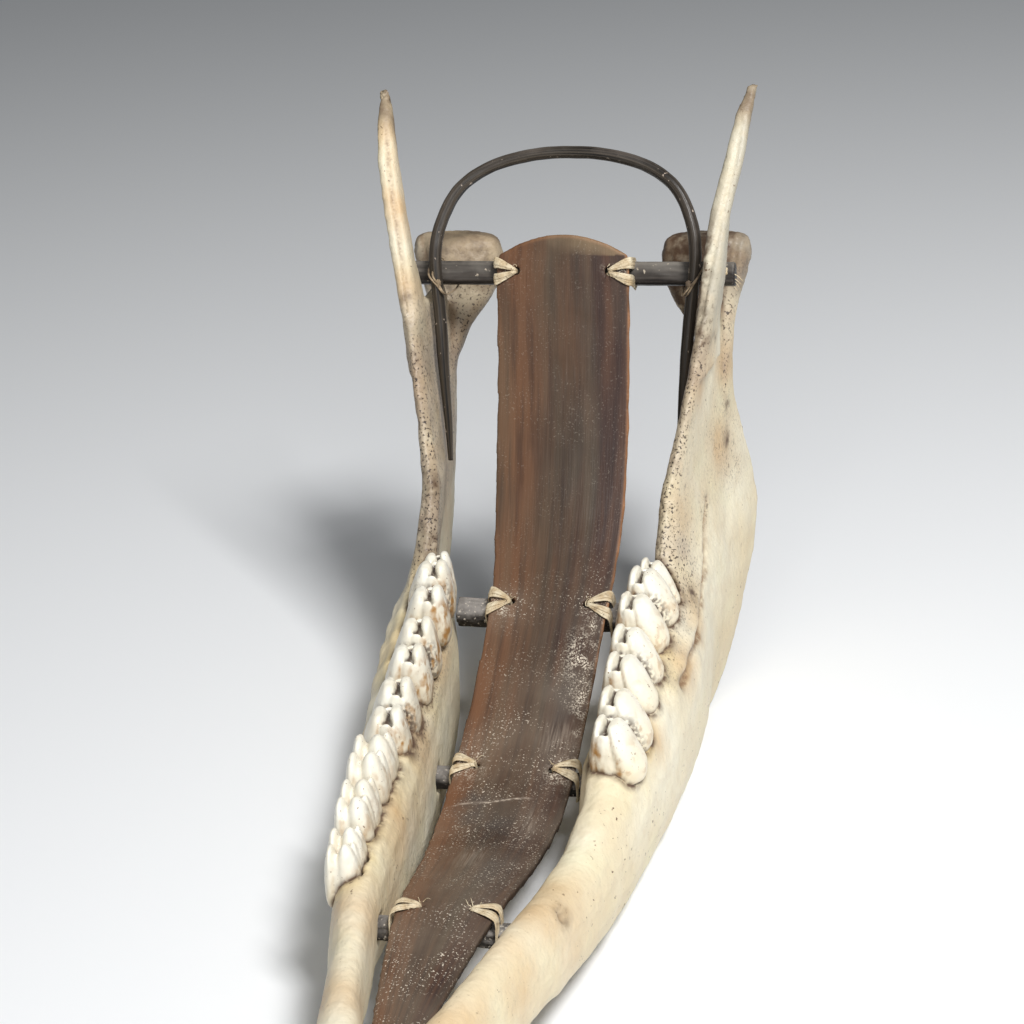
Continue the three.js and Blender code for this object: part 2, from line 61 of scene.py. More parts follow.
# The plate: x, distance from the chin, height, half width, from its back end to its front end
PLATE_ROUTE = [
    (-0.3, 239.8, 109.4, 15.6),
    (-0.3, 238.2, 105.8, 16.1),
    (0.2, 232.6, 93.5, 16.1),
    (0.7, 225.6, 79.6, 16),
    (1.1, 217.6, 66.6, 15.9),
    (1.6, 207.8, 54.6, 15.4),
    (1.9, 197.4, 45.6, 14.5),
    (1.8, 187.6, 39.4, 13.8),
    (1, 170.6, 28.6, 13.5),
    (0.2, 150.6, 19.4, 13.5),
    (0, 132, 16.8, 13),
    (0, 111, 20, 11.6),
    (0, 88, 26, 9.9),
    (0, 66, 27.2, 7.2),
    (0, 48, 26.6, 4.4),
]
# Crossbars: row of the plate, height and depth of the section
BARS = {
    "crossbar_1": (1, 5.8, 6),
    "crossbar_2": (6.85, 6, 6.8),
    "crossbar_3": (9, 4.4, 5.4),
    "crossbar_4": (12.05, 4.4, 5.4),
}
# Half of the hoop's route, from the tip of a leg to the crown: x, distance from the chin, height
HOOP_HALF = [
    (28.4, 223.4, 62),
    (28.7, 225.4, 71),
    (29.6, 228.6, 84),
    (30.5, 232.6, 96),
    (31.3, 235, 104),
    (31.7, 237.6, 111),
    (30.4, 241, 117.6),
    (26.5, 245, 124.4),
    (19.4, 248.4, 128.8),
    (9.8, 250.2, 131.2),
]
HOOP_CROWN = (-0.3, 250.8, 131.8)
HOOP_SHIFT = 0.3
HOOP_RADIUS = 1.5
HOOP_TAPER = 0.4
# Lobes of each tooth: distance from the chin, middle across, height of the highest cusp, size beside a molar's lobe
TEETH = {
    "molar_3": [(192.4, -2.6, 52.4, 0.74), (185.3, -2.4, 53.6, 1), (176.3, -2.4, 51.6, 1)],
    "molar_2": [(165.9, -1.3, 48.8, 1), (156.9, -0.4, 46.8, 1)],
    "molar_1": [(146.5, 1, 44.2, 1), (137.5, 1.9, 42.2, 1)],
    "premolar_3": [(125.6, 2.4, 42.6, 0.94), (117.6, 2.6, 43.2, 0.86)],
    "premolar_2": [(109, 3, 42.2, 0.72), (103.4, 3.3, 41.6, 0.68)],
    "premolar_1": [(95.4, 3.5, 39.6, 0.62), (90.8, 3.6, 38.8, 0.54)],
}
TOOTH_SHIFT = {"right": 0.0, "left": -1.2}  # the left row stands further in
LOBE_HALF_LENGTH = 5.0
LOBE_HALF_WIDTH = 5.5
CROWN_HEIGHT = 10.4
ROOT_DEPTH = 4.0
JAW_TEETH = {"right": ["molar_1", "molar_2", "molar_3"], "left": list(TEETH)}

BONE_VOXEL = 0.75
TOOTH_VOXEL = 0.32
PLATE_VOXEL = 0.48
BAR_VOXEL = 0.42


# Arrays of a mesh's points, in millimetres

def points(mesh):
    flat = np.empty(len(mesh.vertices) * 3, np.float32)
    mesh.vertices.foreach_get("co", flat)
    return flat.reshape(-1, 3).astype(float) / MM


def put_points(mesh, co):
    mesh.vertices.foreach_set("co", (co * MM).astype(np.float32).ravel())
    mesh.update()


def normals(mesh):
    flat = np.empty(len(mesh.vertices) * 3, np.float32)
    mesh.vertices.foreach_get("normal", flat)
    return flat.reshape(-1, 3).astype(float)


def pairs(mesh):
    flat = np.empty(len(mesh.edges) * 2, np.int32)
    mesh.edges.foreach_get("vertices", flat)
    return flat.reshape(-1, 2)


def averaged(values, joined):
    """The mean of each point's neighbours."""
    a, b = joined.T
    count = np.bincount(a, minlength=len(values)) + np.bincount(b, minlength=len(values))
    columns = values.reshape(len(values), -1)
    sums = [np.bincount(a, c[b], len(c)) + np.bincount(b, c[a], len(c)) for c in columns.T]
    return (np.stack(sums, 1) / np.maximum(count, 1)[:, None]).reshape(values.shape)


def relaxed(co, joined, rounds, swell=-0.52):
    """Evens out facets and steps, and keeps the size."""
    for share in [0.5, swell] * rounds:
        co = co + share * (averaged(co, joined) - co)
    return co


def clouds(co, size, seed, octaves=3):
    """Smooth random values, mostly between -1 and 1, with lumps of the given size."""
    shift = Vector((seed * 7.31, seed * 3.17, seed * 1.73))
    return np.array([noise.fractal(Vector(p) / size + shift, 1.0, 2.0, octaves) for p in co])


def ramp(values, start, end):
    """0 before start and 1 after end, or the other way round, with a smooth step between."""
    t = np.clip((values - start) / (end - start), 0, 1)
    return t * t * (3 - 2 * t)


def near(values, middle, half):
    return np.exp(-(((values - middle) / half) ** 2))


def cavity(mesh, reach, depth):
    """1 in pits and grooves, 0 on flat and raised places."""
    co, joined = points(mesh), pairs(mesh)
    soft = co
    for _ in range(reach):
        soft = averaged(soft, joined)
    inward = np.einsum("ij,ij->i", soft - co, normals(mesh))
    for _ in range(2):
        inward = averaged(inward, joined)
    return np.clip(inward / depth, -1, 1)


# Pieces

def object_from(bm, name):
    mesh = bpy.data.meshes.new(name)
    bm.to_mesh(mesh)
    bm.free()
    piece = bpy.data.objects.new(name, mesh)
    bpy.context.scene.collection.objects.link(piece)
    return piece


def copied(node, name):
    bm = bmesh.new()
    bm.from_mesh(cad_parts[node].data)
    bmesh.ops.remove_doubles(bm, verts=bm.verts, dist=0.002 * MM)
    return object_from(bm, name)


def remeshed(piece, voxel):
    modifier = piece.modifiers.new("fine", "REMESH")
    modifier.mode = "VOXEL"
    modifier.voxel_size = voxel * MM
    graph = bpy.context.evaluated_depsgraph_get()
    mesh = bpy.data.meshes.new_from_object(piece.evaluated_get(graph))
    piece.modifiers.clear()
    piece.data = mesh
    return mesh


def paint(piece, name, values):
    attribute = piece.data.attributes.new(name, "FLOAT", "POINT")
    attribute.data.foreach_set("value", np.asarray(values, np.float32))


def paint_place(piece, name, places):
    attribute = piece.data.attributes.new(name, "FLOAT_VECTOR", "POINT")
    attribute.data.foreach_set("vector", np.asarray(places, np.float32).ravel())


def finished(piece, material, slot, *nodes):
    piece.data.materials.clear()
    piece.data.materials.append(material)
    piece.data.polygons.foreach_set("use_smooth", [True] * len(piece.data.polygons))
    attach(piece, "root")
    if nodes:
        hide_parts(*nodes)
    return piece


def tree_of(piece):
    bm = bmesh.new()
    bm.from_mesh(piece.data)
    tree = BVHTree.FromBMesh(bm)
    bm.free()
    return tree


def distance_to(co, tree, most):
    """How far each point is from a surface, in millimetres, up to the given most."""
    found = [tree.find_nearest(Vector(p) * MM, most * MM)[3] for p in co]
    return np.array([most if d is None else d / MM for d in found])


# Routes: smooth curves through listed points

def along(route, position):
    """A smooth value between rows, at a fractional row number."""
    rows = np.asarray(route, float)
    i = int(min(max(math.floor(position), 0), len(rows) - 2))
    u = position - i
    a, b = rows[i], rows[i + 1]
    before = rows[i - 1] if i > 0 else a
    after = rows[i + 2] if i + 2 < len(rows) else b
    start = (b - before) / (2 if i > 0 else 1)
    end = (after - a) / (2 if i + 2 < len(rows) else 1)
    return ((2 * u**3 - 3 * u**2 + 1) * a + (u**3 - 2 * u**2 + u) * start
            + (3 * u**2 - 2 * u**3) * b + (u**3 - u**2) * end)


def tube(name, route, size, sides, steps, closed=False):
    """A tube along a route. size(share, turn) gives its reach along the two directions across the route."""
    last = len(route) - 1
    rows = list(route) + ([route[0]] if closed else [])
    count = last + 1 if closed else last
    middles = [Vector(along(rows, count * i / steps)) for i in range(steps + 1)]
    bm = bmesh.new()
    bmesh.ops.create_grid(bm, x_segments=sides, y_segments=steps, size=1)
    frames = []
    across = None
    for i, middle in enumerate(middles):
        tangent = (middles[min(i + 1, steps)] - middles[max(i - 1, 0)]).normalized()
        if across is None:
            across = tangent.orthogonal()
        across = (across - tangent * across.dot(tangent)).normalized()
        frames.append((middle, across, tangent.cross(across)))
    for vert in bm.verts:
        turn = (vert.co.x + 1) * math.pi
        row = round((vert.co.y + 1) / 2 * steps)
        middle, first, second = frames[row]
        reach, flat = size(row / steps, turn)
        vert.co = (middle + first * math.cos(turn) * reach + second * math.sin(turn) * flat) * MM
    bmesh.ops.remove_doubles(bm, verts=bm.verts, dist=0.0005 * MM)
    bmesh.ops.holes_fill(bm, edges=[e for e in bm.edges if e.is_boundary], sides=0)
    bmesh.ops.recalc_face_normals(bm, faces=bm.faces)
    return object_from(bm, name)


# The jaw halves

def jaw_matrix(side):
    """From a jaw half's own frame, in millimetres, to the sled's."""
    turn = Matrix.Rotation(-JAW_TOE, 4, "Z") @ Matrix.Rotation(JAW_LEAN, 4, "Y")
    return Matrix.Diagonal((SIDES[side], 1, 1, 1)) @ Matrix.Translation((JAW_AXIS, -CHIN, 0)) @ turn


def in_jaw(co, side):
    """Points in the jaw half's own frame: across, along from the chin, height."""
    inverse = np.array(jaw_matrix(side).inverted())
    return co @ inverse[:3, :3].T + inverse[:3, 3]


def jaw_bone(side):
    piece = copied(f"{side}_jaw", f"{side}_jaw_bone")
    mesh = remeshed(piece, BONE_VOXEL)
    joined = pairs(mesh)
    co = relaxed(points(mesh), joined, 26)
    put_points(mesh, co)
    place = in_jaw(co, side)
    across, distance, height = place.T
    turned = in_jaw(co + normals(mesh), side) - place
    outward, forward = turned[:, 0], turned[:, 1]
    lumps = 0.22 * clouds(place, 13, 1) + 0.12 * clouds(place, 4.5, 2)
    hollow = near(distance, 236, 15) * near(height, 46, 20) * ramp(outward, 0, 0.6)
    rim = ramp(height, 26, 31) * ramp(height, 44, 38) * ramp(outward, 0.1, 0.7)
    sockets = np.zeros(len(co))
    for name in JAW_TEETH[side]:
        for lobe, _, _, size in TEETH[name]:
            sockets += 0.5 * size * near(distance, lobe, 2.6)
    ridge = near_line(place, [(a - 1.8, d, h + 1.6) for a, d, h in MUSCLE_LINE], 1.7)
    furrow = near_line(place, MUSCLE_LINE, 1.15)
    blade_groove = near(across, blade_middle(height) - 0.6, 0.7) * ramp(height, 92, 104) * ramp(height, 142, 132)
    rough_joint = 0.3 * np.abs(clouds(place, 1.7, 5, 3)) * ramp(height, 84, 98) * ramp(distance, 248, 253)
    foramen = marked(place, [(4.2, 90.3, 25.9, 1.3)])
    pores = ramp(clouds(place, 1.0, 14, 2), 0.2, 0.45) * ramp(forward, 0.0, -0.6) * near(height, 62, 26)
    pores = pores * ramp(distance, 184, 192)
    push = lumps - 0.7 * hollow + rim * sockets + 0.8 * ridge - 1.25 * furrow - 1.3 * foramen
    push = push - 0.8 * blade_groove * ramp(forward, -0.1, -0.6) - rough_joint - 0.5 * pores
    if side == "left":
        broken = ramp(height, 143.6, 147.4) * ramp(clouds(place, 1.1, 15, 2), -0.15, 0.35)
        push = push - 1.6 * broken
    co = co + normals(mesh) * push[:, None]
    co[:, 2] = np.maximum(co[:, 2], 0.02)
    put_points(mesh, co)
    paint_place(piece, "place", place / 10)
    # hollow_shade: painted shade, a darker colour in pits and grooves
    paint(piece, "hollow_shade", cavity(mesh, 6, 0.35))
    return piece


def blade_middle(height):
    """Middle across of the coronoid process at a height, at its front edge."""
    return np.interp(height, [86, 99, 110, 121, 132, 141, 147], [3.2, 5, 7, 9.3, 11.6, 12.6, 13.1])


# Marks on each jaw half: across, distance from the chin, height, reach
BROWN_MARKS = {
    "right": [
        (3.6, 226, 108, 3.2), (2.6, 224, 102, 3.6), (1.6, 222.5, 96, 5), (0.6, 220, 88, 3), (-0.4, 216, 80, 2.4),
        (6.5, 226.9, 94.4, 1.7), (3.3, 248.7, 67.9, 1.5), (3.5, 244.7, 60.7, 1.8), (3.9, 90.3, 25.9, 2.1),
        (7.2, 188.5, 34, 1.2), (7.7, 179, 32.6, 1.2), (7.4, 171, 32.4, 1.3), (3.4, 199, 40.6, 2.4),
    ],
    "left": [
        (5.8, 225, 105, 1.6), (5.0, 221.6, 98, 1.8), (3.6, 218, 92, 1.6), (-1.8, 205.4, 63.7, 1.1),
        (-3.2, 197, 53, 2.6), (12.4, 252, 145.6, 1.4), (-6.4, 157.8, 34.2, 1.5), (-7.0, 139, 32.6, 1.6),
        (-6.6, 147, 33.4, 1.3), (-1.2, 219, 62, 1.5),
    ],
}
TAN_MARKS = {
    "right": [
        (3, 88, 25, 12), (-1, 96, 28, 8), (6, 196, 38, 7), (7, 178, 33, 6), (5, 222, 84, 9), (4, 240, 62, 8),
        (2, 70, 27, 9), (8, 150, 30, 6), (0, 46, 30, 10), (4, 250, 80, 8), (2, 205, 58, 8),
    ],
    "left": [
        (-5, 112, 29, 10), (-6, 142, 31, 8), (-7, 172, 38, 8), (-3, 236, 44, 10), (-2, 226, 60, 9), (9, 236, 124, 7),
        (6, 228, 108, 8), (-3, 78, 30, 10), (3, 216, 84, 8), (11, 246, 139, 6), (-2, 52, 30, 9), (-5, 96, 20, 8),
        (0, 230, 80, 12), (-1, 222, 68, 10), (2, 238, 92, 9), (-4, 208, 50, 8),
    ],
}
# The line of the jaw muscle's edge, along the outer side below the last molars: across, distance, height
MUSCLE_LINE = [(2.8, 224, 53), (2.9, 220.8, 50.6), (4.2, 212.8, 42.6), (5.1, 203, 36.8), (7, 188.5, 34), (7.7, 172, 32)]


def marked(place, marks):
    total = np.zeros(len(place))
    for across, distance, height, reach in marks:
        away = ((place - (across, distance, height)) ** 2).sum(1) / reach**2
        total = np.maximum(total, np.exp(-away))
    return total


def near_line(place, line, reach):
    """1 on a line of points and 0 well away from it."""
    best = np.full(len(place), 1e9)
    for start, end in zip(line, line[1:]):
        a, run = np.array(start), np.array(end) - np.array(start)
        share = np.clip((place - a) @ run / (run @ run), 0, 1)
        best = np.minimum(best, ((place - a - share[:, None] * run) ** 2).sum(1))
    return np.exp(-best / reach**2)


def bone_marks(side, piece, teeth):
    """Where the bone is stained, greasy, pitted, grey or thin, and where shade is painted along the teeth and on the
    right coronoid blade.
    """
    left = side == "left"
    co = points(piece.data)
    place = in_jaw(co, side)
    across, distance, height = place.T
    gum = np.full(len(co), 9.0)
    for tooth in teeth:
        gum = np.minimum(gum, distance_to(co, tree_of(tooth), 9.0))
    outward = in_jaw(co + normals(piece.data), side)[:, 0] - across
    forward = in_jaw(co + normals(piece.data), side)[:, 1] - distance
    warp = place + 1.6 * np.stack([clouds(place, 5, seed, 3) for seed in (21, 22, 23)], 1)
    # gum: closeness to the teeth, used for painted shade along them
    paint(piece, "gum", np.exp(-gum / 1.5))
    paint(piece, "greasy", np.exp(-gum / 4.5))
    inner = blade_middle(height) - across
    blade = ramp(height, 88, 104)
    edge = ramp(inner, 1.1, 2.1) * ramp(height, 84, 92) * ramp(height, 126, 114) * (0 if left else 1)
    paint(piece, "brown", np.maximum(marked(warp, BROWN_MARKS[side]), 0.9 * edge))
    band = 0.75 * ramp(inner, -0.3, 0.6) * blade * (1 if left else 0)
    inner_face = ramp(outward, 0.1, -0.5) * ramp(distance, 200, 212) * ramp(height, 44, 56) * ramp(height, 112, 96)
    band = np.maximum(band, (0.85 if left else 0.4) * inner_face * ramp(clouds(place, 9, 25, 3), -0.5, 0.3))
    paint(piece, "tan", np.maximum(marked(warp, TAN_MARKS[side]), band))
    turned = ramp(forward, 0.35, -0.25) if left else ramp(forward, 0.1, -0.5)
    front_face = turned * ramp(distance, 184, 192) * ramp(height, 44, 54) * ramp(height, 112, 84)
    socket_end = near(distance, 199, 7) * near(height, 48, 9)
    row_side = np.exp(-gum / 2.6) * ramp(outward, 0.2, -0.5) * ramp(distance, 132, 140)
    channel = np.exp(-gum / 2.6) * ramp(outward, -0.6, 0.1) * ramp(distance, 158, 172)
    paint(piece, "pores", np.clip(front_face + socket_end + (row_side if left else channel), 0, 1))
    seam = near(inner, 0.3 + 0.3 * clouds(place, 9, 24, 2), 0.22) * ramp(height, 100, 110) * ramp(height, 143, 136)
    paint(piece, "line", 0.7 * seam if left else near_line(warp, MUSCLE_LINE, 1.5))
    joint = ramp(distance, 244, 250) * ramp(height, 90, 97)
    paint(piece, "grey", np.maximum(joint, (0.9 if left else 0.3) * front_face))
    outer = ramp(inner, 0.9, -0.3)
    # thin_and_shade: the thin coronoid blade greyed, and on the right blade painted shade as well
    paint(piece, "thin_and_shade", blade * ramp(height, 146, 137) * (0.25 if left else 0.6 + 0.4 * outer))


# The teeth

def cusp(bm, middle, bottom, top, foot, crest, lengths, blunt=2.8, peak=0.0):
    """A rounded column that narrows upwards to a crest along the tooth row.

    foot and crest: middle across and half width there. lengths: half lengths along the row there."""
    made = bmesh.ops.create_uvsphere(bm, u_segments=28, v_segments=22, radius=1)
    for vert in made["verts"]:
        x, y, z = vert.co
        round_off = (1 - abs(z) ** blunt) ** (1 / blunt) if abs(z) < 1 else 0.0
        around = math.hypot(x, y) or 1.0
        up = (z + 1) / 2
        share = min(max((up - 0.3) / 0.7, 0), 1) ** 1.25
        half = foot[1] + (crest[1] - foot[1]) * share
        length = (lengths[0] + (lengths[1] - lengths[0]) * share) * round_off * y / around
        vert.co = (
            foot[0] + (crest[0] - foot[0]) * share + half * round_off * x / around,
            middle + length,
            bottom + (top - bottom) * up - peak * up**3 * (length / lengths[1]) ** 2,
        )


def molar_lobe(bm, side, lobe):
    """An outer cone and an inner leaf with a narrow slit between them, joined at their ends."""
    distance, across, top, size = lobe
    across += TOOTH_SHIFT[side]
    wide = LOBE_HALF_WIDTH * (0.4 + 0.6 * size) / 5.5
    bottom = top - CROWN_HEIGHT - ROOT_DEPTH
    flank = 0.9 if side == "right" else 0.0
    slit = -1.2 if side == "right" else -0.5
    outer_foot = (across + (2.2 + 0.5 * flank) * wide, (3.5 + 0.7 * flank) * wide)
    cusp(bm, distance, bottom, top - 0.6, outer_foot, (across + (slit + 1.8) * wide, 1.45 * wide),
         (4.8 * size, 4.0 * size), 4.6, 0.5)
    leaf = 1.0 if side == "right" else 0.87
    cusp(bm, distance + 0.3, bottom, top, (across - 3.5 * wide, 2.0 * wide),
         (across + (slit - 3.9) / 2 * wide, (slit + 3.9) / 2 * wide - 0.3), (4.6 * size * leaf, 4.0 * size * leaf), 4.4, 0.9)
    cusp(bm, distance, bottom, top - 3.0, (across - 0.6 * wide, 3.4 * wide), (across - 0.4 * wide, 3.2 * wide),
         (4.7 * size, 3.8 * size), 4.0)
    for end in (-1, 1):
        cusp(bm, distance + end * 3.6 * size, bottom, top - 1.9, (across - 0.9 * wide, 2.7 * wide),
             (across + slit * wide, 1.6 * wide), (1.2 * size, 0.8 * size), 3.0)


def premolar_lobe(bm, side, lobe):
    """A broad smooth leaf on the inner side and a thinner one outside it."""
    distance, across, top, size = lobe
    across += TOOTH_SHIFT[side]
    wide = 0.46 + 0.54 * size
    long = 0.3 + 0.7 * size
    bottom = top - CROWN_HEIGHT - ROOT_DEPTH
    cusp(bm, distance - 0.3, bottom, top, (across - 1.5 * wide, 3.3 * wide), (across - 0.5 * wide, 2.7 * wide),
         (4.7 * long, 4.0 * long), 2.1)
    cusp(bm, distance, bottom, top - 0.7, (across + 3.2 * wide, 2.1 * wide), (across + 3.5 * wide, 1.3 * wide),
         (4.7 * long, 4.2 * long), 2.8)
    cusp(bm, distance, bottom, top - 2.8, (across + 0.6 * wide, 3.4 * wide), (across + 1.6 * wide, 2.6 * wide),
         (4.6 * long, 3.6 * long), 3.2)
    cusp(bm, distance + 2.9 * long, bottom, top - 0.9, (across - 3.0 * wide, 1.7 * wide),
         (across - 2.1 * wide, 1.4 * wide), (2.6 * long, 2.2 * long), 2.1)


def tooth(side, name, material):
    bm = bmesh.new()
    for lobe in TEETH[name]:
        (premolar_lobe if name.startswith("premolar") else molar_lobe)(bm, side, lobe)
    bmesh.ops.transform(bm, matrix=Matrix.Scale(MM, 4) @ jaw_matrix(side), verts=bm.verts)
    bmesh.ops.recalc_face_normals(bm, faces=bm.faces)
    piece = object_from(bm, f"{side}_{name}_tooth")
    mesh = remeshed(piece, TOOTH_VOXEL)
    joined = pairs(mesh)
    co = relaxed(points(mesh), joined, 2)
    put_points(mesh, co)
    place = in_jaw(co, side)
    ribs = 0.11 * clouds(place * (1, 1, 0.3), 1.5, 8, 2) + 0.09 * clouds(place, 2.8, 3)
    pitted = 0.3 * np.clip(clouds(place, 0.9, 9, 2) - 0.42, 0, 1) * ramp(cavity(mesh, 14, 0.5), -0.2, 0.4)
    put_points(mesh, co + normals(mesh) * (ribs - pitted)[:, None])
    paint(piece, "hollow_shade", cavity(mesh, 12, 0.45))
    return piece


def tooth_marks(side, piece, name, bone_tree):
    """Dirt and painted shade in the slits and between the lobes, and brown stains low on the inner side."""
    co = points(piece.data)
    place = in_jaw(co, side)
    across, distance, height = place.T
    inward = across - in_jaw(co + normals(piece.data), side)[:, 0]
    lobes = TEETH[name][::-1]
    middle = np.interp(distance, [l[0] for l in lobes], [l[1] for l in lobes]) + TOOTH_SHIFT[side]
    top = np.interp(distance, [l[0] for l in lobes], [l[2] for l in lobes])
    depth = (top - height) / CROWN_HEIGHT
    gum = distance_to(co, bone_tree, 6.0)
    hollow_shade = cavity(piece.data, 12, 0.45)
    streaks = ramp(clouds(place * (1, 1, 0.35), 1.7, 11, 3), -0.1, 0.25)
    molar = 0.0 if name.startswith("premolar") else 1.0
    lobe_gap = np.min([np.abs(distance - (a[0] + b[0]) / 2) for a, b in zip(lobes, lobes[1:])], axis=0)
    pits_side = ramp(inward, -0.1, 0.5) if side == "left" else 0
    between = np.exp(-((lobe_gap / (1.4 + 0.9 * pits_side)) ** 2)) * ramp(depth, 0.2, 0.5) * molar
    # Dirt with painted shade: darker colour in hollows, in the slit and in the gaps between the lobes
    dirt_and_shade = np.maximum(ramp(hollow_shade, 0.2, 0.75), 0.95 * between * ramp(clouds(place, 0.8, 12, 2), -0.3, 0.2))
    slit = near(across, middle - (1.2 if side == "right" else 0.5), 1.0) * ramp(depth, 0.06, 0.16)
    dirt_and_shade = np.maximum(dirt_and_shade, slit * ramp(hollow_shade, -0.1, 0.3))
    # gum: closeness to the bone, used for painted shade at the crown's foot
    paint(piece, "gum", np.exp(-gum / 0.8))
    paint(piece, "dirt_and_shade", np.clip(dirt_and_shade * (0.35 + 0.65 * molar), 0, 1))
    low = ramp(depth, 0.25, 0.7)
    inner_stain = streaks * ramp(inward, -0.2, 0.5) * ramp(depth, 0.12, 0.4)
    outer_stain = 0.45 * low * ramp(clouds(place, 2.2, 13, 3), 0.12, 0.45)
    paint(piece, "stain", np.clip((inner_stain + outer_stain) * (0.35 + 0.65 * molar), 0, 1))
    paint(piece, "depth", depth)


def front_teeth(side, material):
    for number in range(1, 5):
        node = f"{side}_front_tooth_{number}"
        piece = copied(node, f"{node}_crown")
        mesh = remeshed(piece, TOOTH_VOXEL)
        put_points(mesh, relaxed(points(mesh), pairs(mesh), 12))
        # Painted shade with dirt: a darker colour in the front crowns' hollows
        paint(piece, "dirt_and_shade", ramp(cavity(mesh, 8, 0.5), 0.3, 0.9))
        for name in ("gum", "stain"):
            paint(piece, name, np.zeros(len(mesh.vertices)))
        paint(piece, "depth", np.full(len(mesh.vertices), 0.3))
        finished(piece, material, "enamel", node)


# The plate

def plate_frame(row):
    point = Vector(along(PLATE_ROUTE, row)[:3])
    ahead = Vector(along(PLATE_ROUTE, min(row + 0.2, 14))[:3])
    behind = Vector(along(PLATE_ROUTE, max(row - 0.2, 0))[:3])
    forward = (ahead - behind).normalized()
    normal = forward.cross(Vector((1, 0, 0))).normalized()
    return point, forward, normal, along(PLATE_ROUTE, row)[3]


def at_chin(vector):
    """From distances measured from the chin to the sled's own origin."""
    return Vector((vector[0], vector[1] - CHIN, vector[2]))


# Marks on the plate: share of its half width, row, reach across and along
DUST_MARKS = [
    (0.8, 6.9, 0.5, 0.8), (0.75, 7.7, 0.45, 0.7), (0.55, 8.4, 0.5, 0.6), (-0.75, 6.9, 0.35, 0.4), (-0.8, 9, 0.4, 0.5),
    (0.8, 9, 0.4, 0.5), (0.2, 9.6, 0.9, 1.2), (0, 11, 0.9, 1.6), (-0.3, 12.4, 0.9, 1.2), (0.85, 8.0, 0.3, 0.9),
]
GRIT_MARKS = [
    (0.86, 7.15, 0.22, 0.28), (0.7, 7.6, 0.2, 0.25), (0.9, 8.2, 0.16, 0.3), (-0.84, 6.95, 0.16, 0.16),
    (-0.8, 9.05, 0.2, 0.2), (0.84, 9.1, 0.2, 0.2), (0.8, 0.9, 0.12, 0.14), (-0.8, 0.9, 0.12, 0.14),
]
WORN_MARKS = [(0.62, 8.1, 0.3, 0.35), (0.1, 10.2, 0.4, 0.5), (-0.45, 9.8, 0.3, 0.4), (0.4, 11.2, 0.3, 0.4)]
SCRAPED_MARKS = [(0.62, 8.6, 0.25, 0.22), (0.55, 10.1, 0.12, 0.3), (-0.1, 10.9, 0.25, 0.2)]


def strip_marked(across, row, marks):
    total = np.zeros(len(row))
    for middle, at, reach, long in marks:
        total = np.maximum(total, np.exp(-(((across - middle) / reach) ** 2) - ((row - at) / long) ** 2))
    return total


def plate_marks(piece, across, row, end):
    """Dust, grit, worn and scraped places, the pale rim and a fine crack, in the plate's own directions.

    end is the distance to the plate's rounded end."""
    co = points(piece.data)
    face = ramp(normals(piece.data)[:, 2], -0.2, 0.3)
    warp = 0.12 * clouds(co, 5, 31, 3)
    dust = 0.12 + 0.45 * ramp(row, 5, 11) + strip_marked(across + warp, row, DUST_MARKS)
    paint(piece, "dust", np.clip(dust, 0, 1) * face)
    paint(piece, "grit", np.clip(1.2 * strip_marked(across + warp, row + warp, GRIT_MARKS), 0, 1) * face)
    paint(piece, "wear_and_top_light", strip_marked(across + warp, row + 2 * warp, WORN_MARKS))
    paint(piece, "scraped", strip_marked(across, row + warp, SCRAPED_MARKS))
    tip = 0.22 * ramp(end, 1.2, 0.3)
    paint(piece, "rim", ramp(across, 0.955, 1.02) * ramp(row, 9, 7) * 0.8 + tip)
    crack = near(row + 0.16 * across + 0.02 * np.sin(7 * across), 9.62, 0.01) * ramp(across, -0.9, -0.7)
    paint(piece, "crack", crack * ramp(across, 0.5, 0.3))
    paint(piece, "pale_end", ramp(end + 3 * warp, 6, 1) * ramp(across + 2 * warp, -0.3, 0.5))


